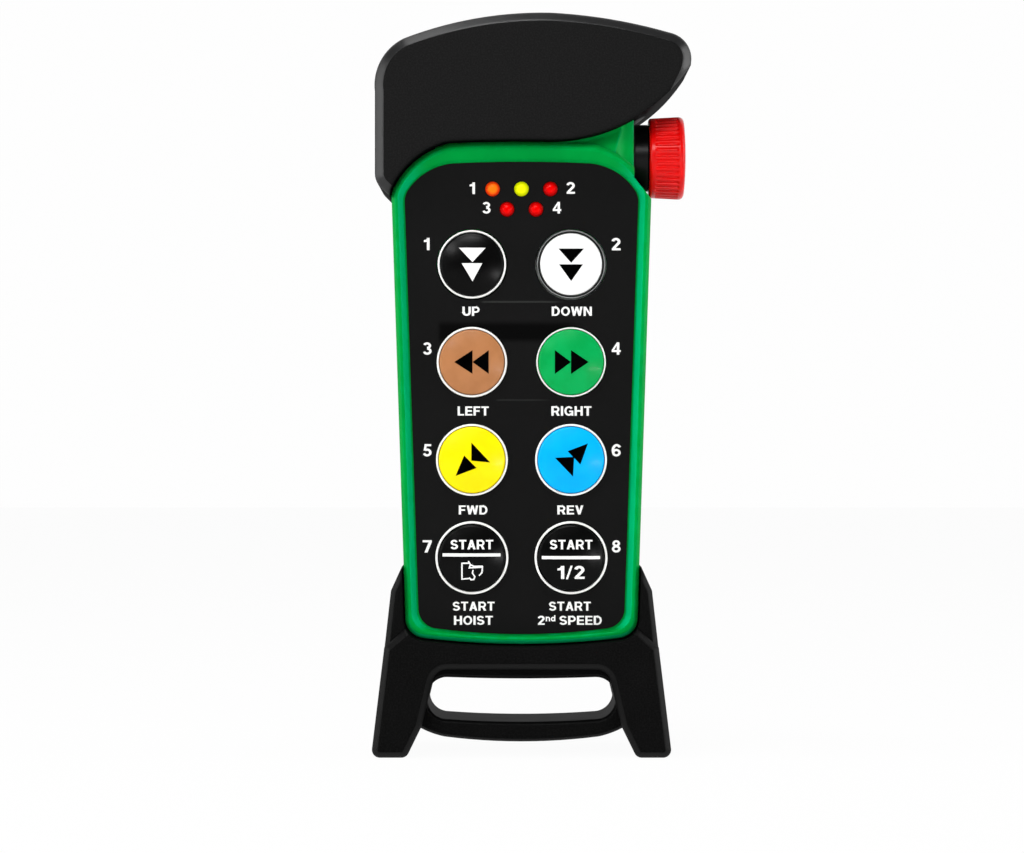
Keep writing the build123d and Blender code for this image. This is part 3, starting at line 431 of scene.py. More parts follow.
# every CAD node gets its finish
cadFinishes = {
    housingGreen: ["front_shell"],
    housingBlack: ["rear_shell", "battery_cover"],
    guardBlack: ["top_guard"],
    lowerBlack: ["lower_guard"],
    panelBlack: ["keypad_overlay"],
    ringWhite: ["button_rings"],
    sealRubber: ["shell_gasket", "keypad_seal", "battery_gasket", "stop_seal"],
    boardGreen: ["main_board", "antenna"],
    chipBlack: ["microcontroller", "sounder"],
    metalCan: ["radio_module", "timing_crystal"],
    lightChip: ["light_sources"],
    cellWrap: ["battery_cell_1", "battery_cell_2", "battery_cell_3"],
    contactMetal: ["battery_contacts_low", "battery_contacts_high"],
    screwSteel: ["battery_cover_screws", "shell_screws", "board_screws", "top_guard_screws",
                 "lower_guard_screws"],
    collarBlack: ["stop_collar"],
    plungerGrey: ["stop_nut", "stop_plunger"],
    switchBody: ["stop_contacts"] + ["switch_" + name for name in capFinishes],
    knobRed: ["stop_knob"],
    lensFinishes["orange"]: ["signal_lens_1"],
    lensFinishes["lime"]: ["signal_lens_2"],
    lensFinishes["red"]: ["signal_lens_3", "signal_lens_4", "signal_lens_5"],
}


def dress(node, material):
    nodes[node].data.materials.clear()
    nodes[node].data.materials.append(material)


for material, names in cadFinishes.items():
    for name in names:
        dress(name, material)
for name, material in capFinishes.items():
    dress("button_" + name, material)
print("finishes given to the CAD nodes")


def place(name, mesh, material, body, slot, smooth=True):
    # a mesh becomes a finished piece that rides a body
    piece = bpy.data.objects.new(name, mesh)
    bpy.context.scene.collection.objects.link(piece)
    mesh.materials.clear()
    mesh.materials.append(material)
    mesh.polygons.foreach_set("use_smooth", [smooth] * len(mesh.polygons))
    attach(piece, body)
    return piece


def turned(profile, steps, centre, along):
    # closed solid turned from (reach along the axis, radius) points, first and last on the axis
    shape = bmesh.new()
    side = Vector((0, 0, 1))
    other = along.cross(side)
    turns = [2 * pi * number / steps for number in range(steps)]
    outward = [side * cos(turn) + other * sin(turn) for turn in turns]
    rings = []
    for reach, radius in profile:
        hub = centre + along * reach
        if radius == 0:
            rings.append([shape.verts.new(hub)])
        else:
            rings.append([shape.verts.new(hub + way * radius) for way in outward])
    for first, second in zip(rings, rings[1:]):
        for number in range(steps):
            after = (number + 1) % steps
            corners = [first[number % len(first)], first[after % len(first)],
                       second[after % len(second)], second[number % len(second)]]
            corners = [corner for index, corner in enumerate(corners) if corner not in corners[:index]]
            shape.faces.new(corners)
    bmesh.ops.recalc_face_normals(shape, faces=shape.faces)
    return shape


def asMesh(shape, name):
    mesh = bpy.data.meshes.new(name)
    shape.to_mesh(mesh)
    shape.free()
    return mesh


def plainMesh(name, points, faces=()):
    mesh = bpy.data.meshes.new(name)
    mesh.from_pydata(points, [], faces)
    return mesh


def geometryTree(name, inputs):
    # an empty Geometry Nodes tree with its named inputs, numbers and one material
    tree = bpy.data.node_groups.new(name, "GeometryNodeTree")
    tree.is_modifier = True
    tree.interface.new_socket("Geometry", in_out="INPUT", socket_type="NodeSocketGeometry")
    for title in inputs:
        tree.interface.new_socket(title, in_out="INPUT", socket_type="NodeSocketFloat")
    tree.interface.new_socket("Material", in_out="INPUT", socket_type="NodeSocketMaterial")
    tree.interface.new_socket("Geometry", in_out="OUTPUT", socket_type="NodeSocketGeometry")
    graph = Graph(tree)
    return graph, graph.node("NodeGroupInput")


def closeTree(graph, given, shape, smooth=True):
    # realizes the instances, sets the material and ends the tree
    shape = graph.node("GeometryNodeRealizeInstances", {}, {"Geometry": shape})
    if smooth:
        shape = graph.node("GeometryNodeSetShadeSmooth", {}, {"Geometry": shape})
    finish = {"Geometry": shape, "Material": given.of("Material")}
    shape = graph.node("GeometryNodeSetMaterial", {}, finish)
    graph.node("NodeGroupOutput", {}, {"Geometry": shape})


def grown(name, mesh, graph, values, body, material):
    # runs a tree on a mesh and keeps the result as a piece, with no modifier left
    piece = bpy.data.objects.new(name, mesh)
    bpy.context.scene.collection.objects.link(piece)
    modifier = piece.modifiers.new(name, "NODES")
    modifier.node_group = graph.tree
    values = dict(values, Material=material)
    for item in graph.tree.interface.items_tree:
        if item.in_out == "INPUT" and item.name in values:
            modifier[item.identifier] = values[item.name]
    evaluated = piece.evaluated_get(bpy.context.evaluated_depsgraph_get())
    result = bpy.data.meshes.new_from_object(evaluated)
    piece.modifiers.clear()
    piece.data = result
    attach(piece, body)
    return piece


# rings round the buttons, in millimetres: how far they stand out and sit in, and their rounding
ring = {"stand": 1.1, "sunk": 3.0, "soft": 0.3, "steps": 96}
ringSets = {  # buttons, outer radius, width and finish of each
    "upRing": (["up"], 10.28, 0.58, ringWhite),
    "leftRing": (["left"], 10.58, 0.62, ringWhite),
    "rightRing": (["right"], 10.44, 0.44, ringWhite),
    "travelRings": (["forward", "reverse"], 10.8, 0.62, ringWhite),
    "startRings": (["start", "speed"], 10.97, 0.68, ringWhite),
    "downRing": (["down"], 9.97, 0.5, ringDark),
    "downLine": (["down"], 10.17, 0.2, ringLine),
}
ringGraph, ringIn = geometryTree("button rings", ["Radius", "Width", "Height", "Soft"])
circle = ringGraph.node("GeometryNodeCurvePrimitiveCircle", {}, {
    "Resolution": ring["steps"], "Radius": ringIn.of("Radius") - ringIn.of("Width") * 0.5})
section = ringGraph.node("GeometryNodeCurvePrimitiveQuadrilateral", {"mode": "RECTANGLE"}, {
    "Width": ringIn.of("Width"), "Height": ringIn.of("Height")})
section = ringGraph.node("GeometryNodeFilletCurve", {"mode": "POLY"}, {
    "Curve": section, "Count": 4, "Radius": ringIn.of("Soft")})
band = ringGraph.node("GeometryNodeCurveToMesh", {}, {"Curve": circle, "Profile Curve": section})
band = ringGraph.node("GeometryNodeTransform", {}, {"Geometry": band, "Rotation": (radians(90), 0, 0)})
many = ringGraph.node("GeometryNodeInstanceOnPoints", {}, {
    "Points": ringIn.of("Geometry"), "Instance": band})
closeTree(ringGraph, ringIn, many)

ringHeight = (ring["stand"] + ring["sunk"]) * mm
ringMiddle = overlayY - ring["stand"] * mm + ringHeight / 2
for title, (names, radius, width, material) in ringSets.items():
    centres = [frontPoint("button_" + name) for name in names]
    points = [(centre.x, ringMiddle, centre.z) for centre in centres]
    values = {"Radius": radius * mm, "Width": width * mm, "Height": ringHeight,
              "Soft": ring["soft"] * width * mm}
    mesh = plainMesh(title, points)
    piece = grown(title, mesh, ringGraph, values, "handset", material)
    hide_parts("button_rings")
print("rings made")

# button caps: domed crown, skirt, flange and post as in the CAD, the crown filling its ring
cap = {"dome": 0.9, "corner": 0.6, "crownBack": 2.4, "skirtFront": 2.7, "flangeReach": 1.45, "lip": 1.2,
       "wall": 1.4, "hollow": 3.3, "post": 1.9, "film": 0.6, "shell": 2.4, "running": 0.3,
       "domeSteps": 12, "cornerSteps": 6, "steps": 96}
capSets = {  # crown radius and slot of each
    "up": (9.5, "cap_black"), "down": (9.3, "cap_white"), "left": (9.77, "cap_tan"),
    "right": (9.82, "cap_green"), "forward": (9.98, "cap_yellow"), "reverse": (9.98, "cap_blue"),
    "start": (9.9, "cap_black"), "speed": (9.9, "cap_black"),
}


def capProfile(look, crown, deep, flangeRadius, flangeFront):
    points = []
    for number in range(look["domeSteps"] + 1):
        share = number / look["domeSteps"]
        points.append((look["dome"] * share ** 2, (crown - look["corner"]) * share))
    for number in range(1, look["cornerSteps"] + 1):
        turn = pi / 2 * number / look["cornerSteps"]
        points.append((look["dome"] + look["corner"] * (1 - cos(turn)),
                       crown - look["corner"] * (1 - sin(turn))))
    skirt = flangeRadius - look["flangeReach"]
    inside = skirt - look["wall"]
    flangeBack = flangeFront + look["lip"]
    points += [(look["crownBack"], crown), (look["skirtFront"], skirt), (flangeFront, skirt),
               (flangeFront, flangeRadius), (flangeBack, flangeRadius), (flangeBack, inside),
               (look["hollow"], inside), (look["hollow"], look["post"]), (deep, look["post"]), (deep, 0.0)]
    return [(reach * mm, radius * mm) for reach, radius in points]


for name, (crown, slot) in capSets.items():
    low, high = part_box("button_" + name)
    flangeFront = (overlayY - low.y) / mm + cap["film"] + cap["shell"] + cap["running"]
    profile = capProfile(cap, crown, (high.y - low.y) / mm, (high.x - low.x) / 2 / mm, flangeFront)
    shape = turned(profile, cap["steps"], frontPoint("button_" + name), Vector((0, 1, 0)))
    mesh = asMesh(shape, name + "Cap")
    piece = place(name + "Cap", mesh, capFinishes[name], name + "_button", slot)
    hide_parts("button_" + name)
print("caps made")

# stop knob: turned body, then its grooves by a rule round the axis
knob = {"length": 11.35, "radius": 12.6, "flare": 0.45, "endDome": 0.55, "endRim": 1.9,
        "cornerStart": 0.6, "cornerDepth": 1.5, "cornerRound": 1.6, "chamfer": 0.15,
        "lip": [(0.7, 0.0), (0.35, 0.12), (0.1, 0.4), (0.0, 0.7)],  # reach, and drop from the rim
        "cupDepth": 5.1, "cupRadius": 10.6, "seatDepth": 8.1, "seatRadius": 3.8,
        "grooves": 44, "grooveDepth": 0.65, "grooveStart": 2.0, "grooveEnd": 8.8, "fade": 0.3,
        "arcSteps": 8, "sideSteps": 28, "steps": 640}


def knobProfile(look):
    points = [(look["length"], 0.0)]
    arcShares = [number / look["arcSteps"] for number in range(1, look["arcSteps"] + 1)]
    for share in arcShares:  # slightly domed end
        points.append((look["length"] - look["endDome"] * share ** 2,
                       share * (look["radius"] - look["endRim"])))
    for share in arcShares:  # rounded corner
        turn = pi / 2 * share
        points.append((look["length"] - look["cornerStart"] - look["cornerDepth"] * (1 - cos(turn)),
                       look["radius"] - look["cornerRound"] * (1 - sin(turn))))
    first = look["length"] - look["cornerStart"] - look["cornerDepth"]
    last = look["lip"][0][0]
    for number in range(1, look["sideSteps"] + 1):
        share = number / look["sideSteps"]
        points.append((first + (last - first) * share, look["radius"] - look["flare"] * share))
    rim = look["radius"] - look["flare"]
    points += [(reach, rim - drop) for reach, drop in look["lip"][1:]]
    points += [(0.0, look["cupRadius"] + look["chamfer"]), (look["chamfer"], look["cupRadius"]),
               (look["cupDepth"], look["cupRadius"]), (look["cupDepth"], look["seatRadius"]),
               (look["seatDepth"], look["seatRadius"]), (look["seatDepth"], 0.0)]
    return [(reach * mm, radius * mm) for reach, radius in points]


knobGraph, knobIn = geometryTree("knob grooves", [
    "Grooves", "Depth", "Start", "End", "Fade", "Radius", "Axis Height"])
knobX, knobY, knobZ = knobGraph.parts(knobGraph.node("GeometryNodeInputPosition"))
up = knobZ - knobIn.of("Axis Height")
turn = up.work("ARCTAN2", up, knobY)
away = up.work("SQRT", up * up + knobY * knobY)
wave = up.work("COSINE", turn * knobIn.of("Grooves"))
cut = (wave * 0.5 + 0.5).step(0.25, 0.9)  # rounded valleys between flat lands
along = ((knobX - knobIn.of("Start")) / knobIn.of("Fade")).step(0, 1)
along = along * ((knobIn.of("End") - knobX) / knobIn.of("Fade")).step(0, 1)
outer = (away - (knobIn.of("Radius") - 1.0 * mm)).step(0, 0.2 * mm)  # the rim, not the cup
sink = cut * along * outer * knobIn.of("Depth")
offset = knobGraph.node("ShaderNodeCombineXYZ", {}, {
    "X": 0.0, "Y": -(sink * knobY / away), "Z": -(sink * up / away)})
grooved = knobGraph.node("GeometryNodeSetPosition", {}, {
    "Geometry": knobIn.of("Geometry"), "Offset": offset})
closeTree(knobGraph, knobIn, grooved)

knobShape = turned(knobProfile(knob), knob["steps"], Vector((knobLow.x, 0, stopZ)), Vector((1, 0, 0)))
values = {"Grooves": float(knob["grooves"]), "Depth": knob["grooveDepth"] * mm,
          "Start": knobLow.x + knob["grooveStart"] * mm, "End": knobLow.x + knob["grooveEnd"] * mm,
          "Fade": knob["fade"] * mm, "Radius": knob["radius"] * mm, "Axis Height": stopZ}
mesh = asMesh(knobShape, "stopKnob")
stopKnob = grown("stopKnob", mesh, knobGraph, values, "stop_head", knobRed)
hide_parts("stop_knob")
print("knob made")

# signal lenses: domes over short light pipes
lens = {"stand": 1.1, "neck": 0.8, "steps": 48, "domeSteps": 10}
lensKinds = {1: "orange", 2: "lime", 3: "red", 4: "red", 5: "red"}
for number, kind in lensKinds.items():
    node = "signal_lens_" + str(number)
    title = "signalLens" + str(number)
    low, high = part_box(node)
    front = frontPoint(node)
    radius = (high.x - low.x) / 2
    turns = [pi / 2 * step / lens["domeSteps"] for step in range(lens["domeSteps"] + 1)]
    dome = [(lens["stand"] * mm * (1 - cos(turn)), radius * sin(turn)) for turn in turns]
    pipe = [(high.y - low.y, radius * lens["neck"]), (high.y - low.y, 0.0)]
    mesh = asMesh(turned(dome + pipe, lens["steps"], front, Vector((0, 1, 0))), title)
    shares = [hypot(vert.co.x - front.x, vert.co.z - front.z) / radius for vert in mesh.vertices]
    rim = mesh.attributes.new("rim", "FLOAT", "POINT")
    rim.data.foreach_set("value", [min(1.0, share) for share in shares])
    piece = place(title, mesh, lensFinishes[kind], "handset", "lens_" + kind)
    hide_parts(node)
print("lenses made")

# printed marks: letters, numbers and arrows, each a thin raised film; overlapping strokes lie a step apart
ink = {"panelLift": 0.03, "capLift": 0.04, "thick": 0.03, "step": 0.0015, "layers": 12, "gap": 0.1,
       "capRadius": 9.12}


def bow(x, y, wide, tall, start, stop, steps=14):
    # points along part of an ellipse, by degrees
    turns = [radians(start + (stop - start) * number / steps) for number in range(steps + 1)]
    return [(x + wide * cos(turn), y + tall * sin(turn)) for turn in turns]


def ribbon(path, width=0.17):
    # a bent line of even width with square ends; one that ends where it starts is closed
    closed = hypot(path[0][0] - path[-1][0], path[0][1] - path[-1][1]) < 1e-6
    path = [Vector(point) for point in (path[:-1] if closed else path)]
    points = []
    faces = []
    for number, point in enumerate(path):
        before = path[number - 1] if closed or number else point
        after = path[(number + 1) % len(path)] if closed or number + 1 < len(path) else point
        first = (point - before).normalized() if before is not point else (after - point).normalized()
        second = (after - point).normalized() if after is not point else first
        side = Vector((-(first + second).y, (first + second).x)).normalized()
        reach = width / 2 / max(0.5, side.dot(Vector((-first.y, first.x))))
        points += [tuple(point - side * reach), tuple(point + side * reach)]
    for number in range(len(path) if closed else len(path) - 1):
        after = (number + 1) % len(path)
        faces.append((2 * number, 2 * after, 2 * after + 1, 2 * number + 1))
    return points, faces


def plate(*corners):
    # one flat face from its corners
    return list(corners), [tuple(range(len(corners)))]


def block(left, low, right, high):
    return plate((left, low), (right, low), (right, high), (left, high))


stem = block(0, 0, 0.2, 1)  # upright at the left of most capitals
glyphs = {  # width and shapes of each, for a height of 1
    "A": (0.74, [plate((0, 0), (0.21, 0), (0.47, 1), (0.27, 1)),
                 plate((0.53, 0), (0.74, 0), (0.47, 1), (0.27, 1)), block(0.17, 0.22, 0.57, 0.37)]),
    "D": (0.73, [stem, ribbon([(0.18, 0.915), (0.33, 0.915)] + bow(0.33, 0.5, 0.3, 0.415, 90, -90)
                              + [(0.18, 0.085)], 0.18)]),
    "E": (0.64, [stem, block(0.2, 0, 0.64, 0.17), block(0.2, 0.42, 0.6, 0.585),
                 block(0.2, 0.83, 0.63, 1)]),
    "F": (0.6, [stem, block(0.2, 0.41, 0.55, 0.58), block(0.2, 0.83, 0.6, 1)]),
    "G": (0.8, [ribbon(bow(0.4, 0.5, 0.305, 0.415, 38, 318), 0.18),
                plate((0.62, 0), (0.79, 0), (0.79, 0.54), (0.43, 0.54), (0.43, 0.38), (0.62, 0.38))]),
    "H": (0.72, [stem, block(0.52, 0, 0.72, 1), block(0.2, 0.42, 0.52, 0.59)]),
    "I": (0.2, [stem]),
    "L": (0.58, [stem, block(0.2, 0, 0.58, 0.17)]),
    "N": (0.73, [block(0, 0, 0.19, 1), block(0.54, 0, 0.73, 1),
                 plate((0.54, 0), (0.54, 0.35), (0.21, 1), (0.19, 0.7))]),
    "O": (0.8, [ribbon(bow(0.4, 0.5, 0.305, 0.415, 0, 360, 28), 0.18)]),
    "P": (0.68, [stem, ribbon([(0.18, 0.915), (0.38, 0.915)] + bow(0.38, 0.665, 0.21, 0.25, 90, -90)
                              + [(0.18, 0.415)])]),
    "R": (0.73, [stem, ribbon([(0.18, 0.915), (0.4, 0.915)] + bow(0.4, 0.675, 0.215, 0.24, 90, -90)
                              + [(0.18, 0.435)]),
                 plate((0.5, 0), (0.73, 0), (0.56, 0.38), (0.35, 0.38))]),
    "S": (0.67, [ribbon(bow(0.33, 0.71, 0.225, 0.205, 15, 270)
                        + bow(0.335, 0.29, 0.25, 0.205, 90, -165), 0.18)]),
    "T": (0.66, [block(0, 0.83, 0.66, 1), block(0.23, 0, 0.43, 0.83)]),
    "U": (0.73, [ribbon([(0.1, 1), (0.1, 0.38)] + bow(0.365, 0.38, 0.265, 0.285, 180, 360)
                        + [(0.63, 1)], 0.2)]),
    "V": (0.72, [plate((0.26, 0), (0.46, 0), (0.21, 1), (0, 1)),
                 plate((0.26, 0), (0.46, 0), (0.72, 1), (0.51, 1))]),
    "W": (1.02, [plate((0.17, 0), (0.37, 0), (0.2, 1), (0, 1)),
                 plate((0.17, 0), (0.36, 0), (0.6, 1), (0.42, 1)),
                 plate((0.66, 0), (0.85, 0), (0.6, 1), (0.42, 1)),
                 plate((0.65, 0), (0.85, 0), (1.02, 1), (0.82, 1))]),
    "n": (0.6, [block(0, 0, 0.18, 0.74), ribbon(bow(0.3, 0.42, 0.21, 0.235, 175, 0) + [(0.51, 0)])]),
    "d": (0.62, [block(0.44, 0, 0.62, 1), ribbon(bow(0.3, 0.36, 0.21, 0.285, 0, 360, 22))]),
    "1": (0.42, [block(0.22, 0, 0.42, 1),
                 plate((0, 0.66), (0.22, 0.66), (0.22, 1), (0.26, 1), (0.17, 0.86), (0, 0.8))]),
    "2": (0.64, [ribbon(bow(0.31, 0.7, 0.22, 0.215, 170, -35) + [(0.13, 0.14)], 0.19),
                 block(0.02, 0, 0.64, 0.17)]),
    "3": (0.64, [ribbon(bow(0.31, 0.735, 0.2, 0.18, 160, -90)),
                 ribbon(bow(0.32, 0.29, 0.225, 0.205, 90, -165))]),
    "4": (0.68, [block(0.38, 0, 0.57, 1), block(0, 0.22, 0.68, 0.38),
                 plate((0, 0.38), (0.18, 0.38), (0.4, 0.78), (0.4, 1))]),
    "5": (0.64, [block(0.13, 0.83, 0.6, 1), plate((0.06, 0.46), (0.24, 0.5), (0.28, 0.9), (0.13, 0.9)),
                 ribbon(bow(0.31, 0.32, 0.23, 0.235, 130, -160))]),
    "6": (0.64, [ribbon(bow(0.33, 0.305, 0.22, 0.22, 0, 360, 24)),
                 ribbon(bow(0.355, 0.5, 0.27, 0.415, 35, 205), 0.18)]),
    "7": (0.62, [block(0, 0.83, 0.62, 1), plate((0.12, 0), (0.33, 0), (0.62, 0.84), (0.41, 0.84))]),
    "8": (0.66, [ribbon(bow(0.33, 0.735, 0.19, 0.18, 0, 360, 24)),
                 ribbon(bow(0.33, 0.29, 0.23, 0.205, 0, 360, 24))]),
    "/": (0.42, [plate((0, -0.02), (0.13, -0.02), (0.42, 1.02), (0.29, 1.02))]),
}


def wordShapes(word, left, right, low, high):
    # a word fitted to its box, in millimetres
    wide = sum(glyphs[letter][0] for letter in word) + ink["gap"] * (len(word) - 1)
    stretch = (right - left) / wide
    shapes = []
    start = 0.0
    for letter in word:
        width, parts = glyphs[letter]
        for points, faces in parts:
            placed = [(left + (start + x) * stretch, low + y * (high - low)) for x, y in points]
            shapes.append((placed, faces))
        start += width + ink["gap"]
    return shapes


def divided(points, faces):
    # the same flat shape, cut into cells of a millimetre so that it can follow a dome
    shape = bmesh.new()
    made = [shape.verts.new((x, 0, y)) for x, y in points]
    for face in faces:
        shape.faces.new([made[number] for number in face])
    for number in range(-9, 10):
        for normal in (Vector((1, 0, 0)), Vector((0, 0, 1))):
            whole = shape.verts[:] + shape.edges[:] + shape.faces[:]
            bmesh.ops.bisect_plane(shape, geom=whole, plane_co=normal * number, plane_no=normal)
    shape.verts.index_update()
    points = [(vert.co.x, vert.co.z) for vert in shape.verts]
    faces = [tuple(vert.index for vert in face.verts) for face in shape.faces]
    shape.free()
    return points, faces


def printed(name, drawings, centre, material, body, slot, dome=0.0):
    # drawings in millimetres from a centre become films on a flat face, or on a crown domed by so much
    shape = bmesh.new()
    for number, (points, faces) in enumerate(drawings):
        if dome:
            points, faces = divided(points, faces)
        lift = (ink["capLift"] if dome else ink["panelLift"]) + (number % ink["layers"]) * ink["step"]
        layers = []
        for height in (lift, lift - ink["thick"]):
            sags = [dome * (x * x + y * y) / ink["capRadius"] ** 2 for x, y in points]
            spots = [Vector((x, sag - height, y)) for (x, y), sag in zip(points, sags)]
            layers.append([shape.verts.new(centre + at * mm) for at in spots])
        top, base = layers
        sides = set()
        for face in faces:
            shape.faces.new([top[corner] for corner in face])
            shape.faces.new([base[corner] for corner in reversed(face)])
            for first, second in zip(face, face[1:] + face[:1]):
                if (second, first) in sides:
                    sides.remove((second, first))
                else:
                    sides.add((first, second))
        for first, second in sorted(sides):
            shape.faces.new((top[second], top[first], base[first], base[second]))
    return place(name, asMesh(shape, name), material, body, slot, smooth=False)


# all marks in millimetres, across from the centreline and up from the feet
words = [  # word, left, right, low, high
    ("UP", -17.75, -12.6, 132.45, 135.2), ("DOWN", 9.1, 21.15, 132.45, 135.2),
    ("LEFT", -19.2, -9.85, 102.45, 105.2), ("RIGHT", 9.0, 21.05, 102.4, 105.25),
    ("FWD", -18.85, -10.2, 72.7, 75.4), ("REV", 10.8, 18.6, 72.7, 75.4),
    ("START", -20.7, -8.1, 43.75, 46.45), ("HOIST", -20.3, -8.6, 39.5, 42.2),
    ("START", 8.25, 20.85, 43.75, 46.45), ("2", 4.9, 7.0, 39.5, 42.2), ("nd", 7.3, 10.2, 40.55, 42.4),
    ("SPEED", 11.4, 24.2, 39.5, 42.2),
]
buttonDigits = {"slim": 0.85, "wide": 1.36, "tall": 1.85, "places": [
    ("1", -28.5, 154.05), ("2", 28.45, 154.0), ("3", -28.35, 122.6), ("4", 28.5, 122.6),
    ("5", -28.35, 92.0), ("6", 28.5, 92.0), ("7", -28.35, 63.1), ("8", 28.5, 63.1)]}
lensDigits = {"slim": 0.8, "wide": 1.28, "tall": 1.75, "places": [
    ("1", -14.8, 170.85), ("2", 14.8, 170.9), ("3", -10.55, 164.95), ("4", 10.7, 164.95)]}
drawings = []
for word in words:
    drawings += wordShapes(*word)
for look in (buttonDigits, lensDigits):  # half sizes round the middle of each digit
    for digit, across, height in look["places"]:
        half = look["slim"] if digit == "1" else look["wide"]
        tall = look["tall"]
        drawings += wordShapes(digit, across - half, across + half, height - tall, height + tall)
printed("panelMarks", drawings, Vector((gripX, overlayY, 0)), markWhite, "handset", "ring_white")

capArrows = {  # corners of each arrowhead, from the cap's middle
    "up": [[(-3.9, 4.9), (4.15, 4.9), (0.2, 0.6)], [(-3.05, 0.25), (3.15, 0.25), (0.2, -5.2)]],
    "down": [[(-3.8, 4.65), (3.87, 4.65), (0.0, 0.35)], [(-3.63, -0.1), (3.54, -0.1), (0.0, -5.1)]],
    "left": [[(-5.3, 0.0), (0.2, 3.55), (0.2, -3.55)], [(0.2, 0.0), (5.07, 3.55), (5.07, -3.55)]],
    "right": [[(-4.9, 3.6), (-0.05, 0.0), (-4.9, -3.6)], [(-0.05, 3.6), (5.3, 0.0), (-0.05, -3.6)]],
    "forward": [[(-0.15, 5.25), (5.5, -0.75), (-0.15, -0.2)], [(-2.3, 1.35), (1.4, -2.4), (-4.9, -4.8)]],
    "reverse": [[(5.05, 4.96), (-1.07, 2.63), (2.78, -1.35)],
                [(-4.87, 0.67), (0.89, 0.92), (0.58, -5.02)]],
}
hookStrokes = [
    [(-0.84, -1.55), (-2.97, -1.6), (-2.97, -6.35), (-0.84, -6.16)],
    [(-1.05, -0.92), (-0.42, -2.02), (-0.77, -2.97), (3.11, -2.72)],
    [(-0.42, -2.02), (0.6, -2.5), (3.3, -2.5)],
    [(3.21, -2.5), (3.02, -4.39), (2.17, -5.34)],
    [(0.37, -3.6), (0.18, -4.55), (0.9, -5.65), (0.59, -6.44), (-0.26, -6.54), (-0.83, -5.9)],
]
startWord = wordShapes("START", -6.4, 6.4, 2.6, 5.42)
hookWidth = 0.42
capMarks = {
    "start": startWord + [block(-8.8, 0.43, 8.6, 1.37)] + [ribbon(path, hookWidth) for path in hookStrokes],
    "speed": startWord + [block(-8.8, -0.37, 8.7, 0.57)] + wordShapes("1/2", -4.1, 4.05, -6.3, -2.4),
}
for name, shapes in capArrows.items():
    arrows = [plate(*corners) for corners in shapes]
    material = markWhite if name == "up" else markBlack
    slot = "ring_white" if name == "up" else "cap_black"
    centre = frontPoint("button_" + name)
    printed(name + "Arrows", arrows, centre, material, name + "_button", slot, cap["dome"])
for name, marks in capMarks.items():
    centre = frontPoint("button_" + name)
    printed(name + "Marks", marks, centre, markWhite, name + "_button", "ring_white", cap["dome"])
print("marks printed")

# socket screws at the back, sunk in their bores
screw = {"headRadius": 2.65, "shankRadius": 1.25, "socket": 1.35, "fill": 0.8}
screwSets = {  # piece, head height, places across and up
    "shell_screws": ("shellScrews", 1.8, [(27.0, 41.1), (32.02, 124.0), (33.2, 160.0)]),
    "top_guard_screws": ("guardScrews", 1.8, [(18.0, 190.1)]),
    "battery_cover_screws": ("coverScrews", 1.0, [(22.95, 48.5), (22.95, 113.5)]),
}
screwGraph, screwIn = geometryTree("socket screws", [
    "Head Radius", "Head Height", "Socket", "Shank Radius", "Shank Length"])
headRadius = screwIn.of("Head Radius")
headHeight = screwIn.of("Head Height")
shankLength = screwIn.of("Shank Length")


def rod(vertices, radius, depth, height=None):
    made = screwGraph.node("GeometryNodeMeshCylinder", {}, {
        "Vertices": vertices, "Radius": radius, "Depth": depth})
    return raised(made, height) if height else made


def raised(shape, height):
    offset = screwGraph.node("ShaderNodeCombineXYZ", {}, {"X": 0.0, "Y": 0.0, "Z": height})
    return screwGraph.node("GeometryNodeTransform", {}, {"Geometry": shape, "Translation": offset})


head = rod(40, headRadius, headHeight)
crown = screwGraph.node("GeometryNodeMeshCone", {}, {
    "Vertices": 40, "Radius Top": headRadius * 0.8, "Radius Bottom": headRadius, "Depth": headHeight * 0.25})
crown = raised(crown, headHeight * 0.5)
socket = rod(6, screwIn.of("Socket"), headHeight, headHeight * 0.7)
shank = rod(24, screwIn.of("Shank Radius"), shankLength, shankLength * -0.5)
solid = screwGraph.node("GeometryNodeMeshBoolean", {"operation": "UNION"}, {"Mesh 2": head})
for shape in (crown, shank):
    screwGraph.tree.links.new(shape.socket, solid.socket.node.inputs["Mesh 2"])
solid = screwGraph.node("GeometryNodeMeshBoolean", {"operation": "DIFFERENCE"}, {
    "Mesh 1": solid, "Mesh 2": socket})
solid = screwGraph.node("GeometryNodeTransform", {}, {"Geometry": solid, "Rotation": (radians(-90), 0, 0)})
many = screwGraph.node("GeometryNodeInstanceOnPoints", {}, {
    "Points": screwIn.of("Geometry"), "Instance": solid})
closeTree(screwGraph, screwIn, many, smooth=False)

for name, (title, tall, places) in screwSets.items():
    low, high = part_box(name)
    seat = high.y - 0.5 * tall * mm
    points = [(gripX + side * across * mm, seat, height * mm)
              for across, height in places for side in (-1, 1)]
    values = {"Head Radius": screw["headRadius"] * mm, "Head Height": tall * screw["fill"] * mm,
              "Socket": screw["socket"] * mm, "Shank Radius": screw["shankRadius"] * mm,
              "Shank Length": seat - low.y}
    mesh = plainMesh(title, points)
    heads = grown(title, mesh, screwGraph, values, "handset", screwSteel)
    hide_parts(name)
print("screws made")

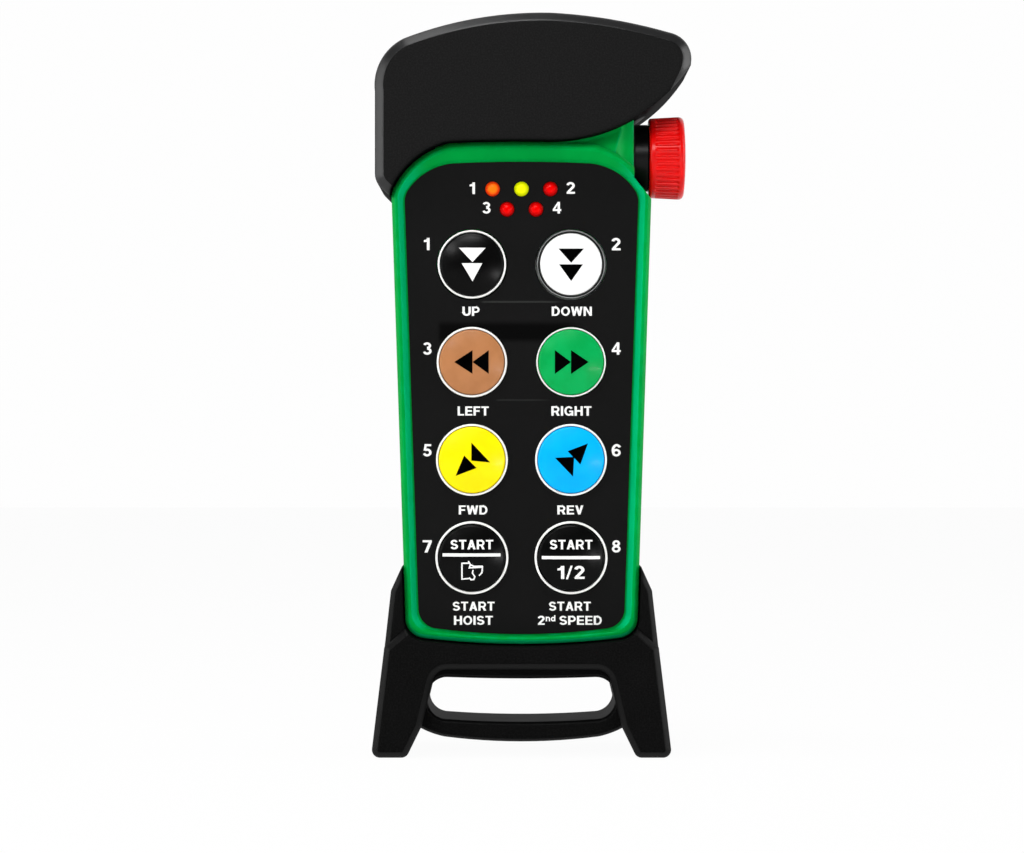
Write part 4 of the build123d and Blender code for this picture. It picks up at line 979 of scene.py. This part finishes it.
# floor, backdrop, lamps and camera, in metres
studio = {"distance": 1.0, "frontY": -0.020, "halfWidth": 0.1536, "middleX": -0.0059, "middleZ": 0.09915,
          "aimZ": 0.11, "ambient": 0.26, "floorWhite": 0.96, "backWhite": 0.985}
lamps = {  # place, size and power in watts of each
    "keyLamp": ((-0.12, -1.25, 0.82), (0.5, 0.2), 6.0),
    "capLampHigh": ((-0.42, -1.25, 0.52), (0.14, 0.14), 1.3),
    "capLampLow": ((0.42, -1.25, 0.03), (0.14, 0.05), 0.7),
    "leftLamp": ((-0.85, -1.1, 0.2), (0.4, 0.8), 3.9),
    "rightLamp": ((0.85, -1.1, 0.06), (0.4, 0.8), 3.1),
    "leftStrip": ((-1.1, -0.15, 0.3), (0.35, 1.1), 5.0),
    "rightStrip": ((1.1, -0.05, 0.35), (0.35, 1.1), 5.0),
    "topLamp": ((-0.22, -0.25, 1.25), (0.7, 0.3), 6.0),
}


def stageFinish(name, white):
    # near white to the camera and in reflections, plain and shaded for the rest
    finish = Finish(name, 0.0)
    speckle = finish.noise(finish.place, 0.05, 2.0)
    path = finish.node("ShaderNodeLightPath")
    seen = path.of("Is Camera Ray") + path.of("Is Glossy Ray") + path.of("Is Transmission Ray")
    share = seen.work("MINIMUM", seen, 1.0) * white
    colour = finish.mix(speckle, tone(238, 238, 238), tone(244, 244, 244))
    matte = finish.node("ShaderNodeBsdfDiffuse", {}, {"Color": colour})
    glow = finish.node("ShaderNodeEmission", {}, {"Color": (1, 1, 1, 1), "Strength": 1.0})
    blend = finish.node("ShaderNodeMixShader", {}, {0: share, 1: matte, 2: glow})
    finish.node("ShaderNodeOutputMaterial", {}, {"Surface": blend})
    return finish.material


def sheet(name, corners, white):
    mesh = plainMesh(name, corners, [(0, 1, 2, 3)])
    made = bpy.data.objects.new(name, mesh)
    bpy.context.scene.collection.objects.link(made)
    mesh.materials.append(stageFinish(name, white))


sheet("studioFloor", [(-6, -6, 0), (6, -6, 0), (6, 6, 0), (-6, 6, 0)], studio["floorWhite"])
sheet("studioBackdrop", [(-6, 3, -0.01), (6, 3, -0.01), (6, 3, 6), (-6, 3, 6)], studio["backWhite"])

world = bpy.data.worlds.new("studio")
bpy.context.scene.world = world
world.use_nodes = True
sky = Graph(world.node_tree)
sky.tree.nodes.clear()
rays = sky.node("ShaderNodeLightPath")
level = studio["ambient"] + rays.of("Is Camera Ray") * (1 - studio["ambient"])
background = sky.node("ShaderNodeBackground", {}, {"Color": (1, 1, 1, 1), "Strength": level})
sky.node("ShaderNodeOutputWorld", {}, {"Surface": background})

aim = Vector((studio["middleX"], 0, studio["aimZ"]))
for name, (stand, size, power) in lamps.items():
    light = bpy.data.lights.new(name, "AREA")
    light.shape = "RECTANGLE"
    light.size, light.size_y = size
    light.energy = power
    made = bpy.data.objects.new(name, light)
    made.location = stand
    made.rotation_euler = (aim - Vector(stand)).to_track_quat("-Z", "Y").to_euler()
    bpy.context.scene.collection.objects.link(made)

camera = bpy.data.objects.new("camera", bpy.data.cameras.new("camera"))
camera.data.sensor_width = 36.0
reach = studio["distance"] + studio["frontY"]  # from the camera to the panel
camera.data.lens = camera.data.sensor_width / 2 * reach / studio["halfWidth"]
camera.location = (studio["middleX"], -studio["distance"], studio["middleZ"])
camera.rotation_euler = (radians(90), 0, 0)
bpy.context.scene.collection.objects.link(camera)
bpy.context.scene.camera = camera
bpy.context.scene.view_settings.view_transform = "Standard"
print("studio made")
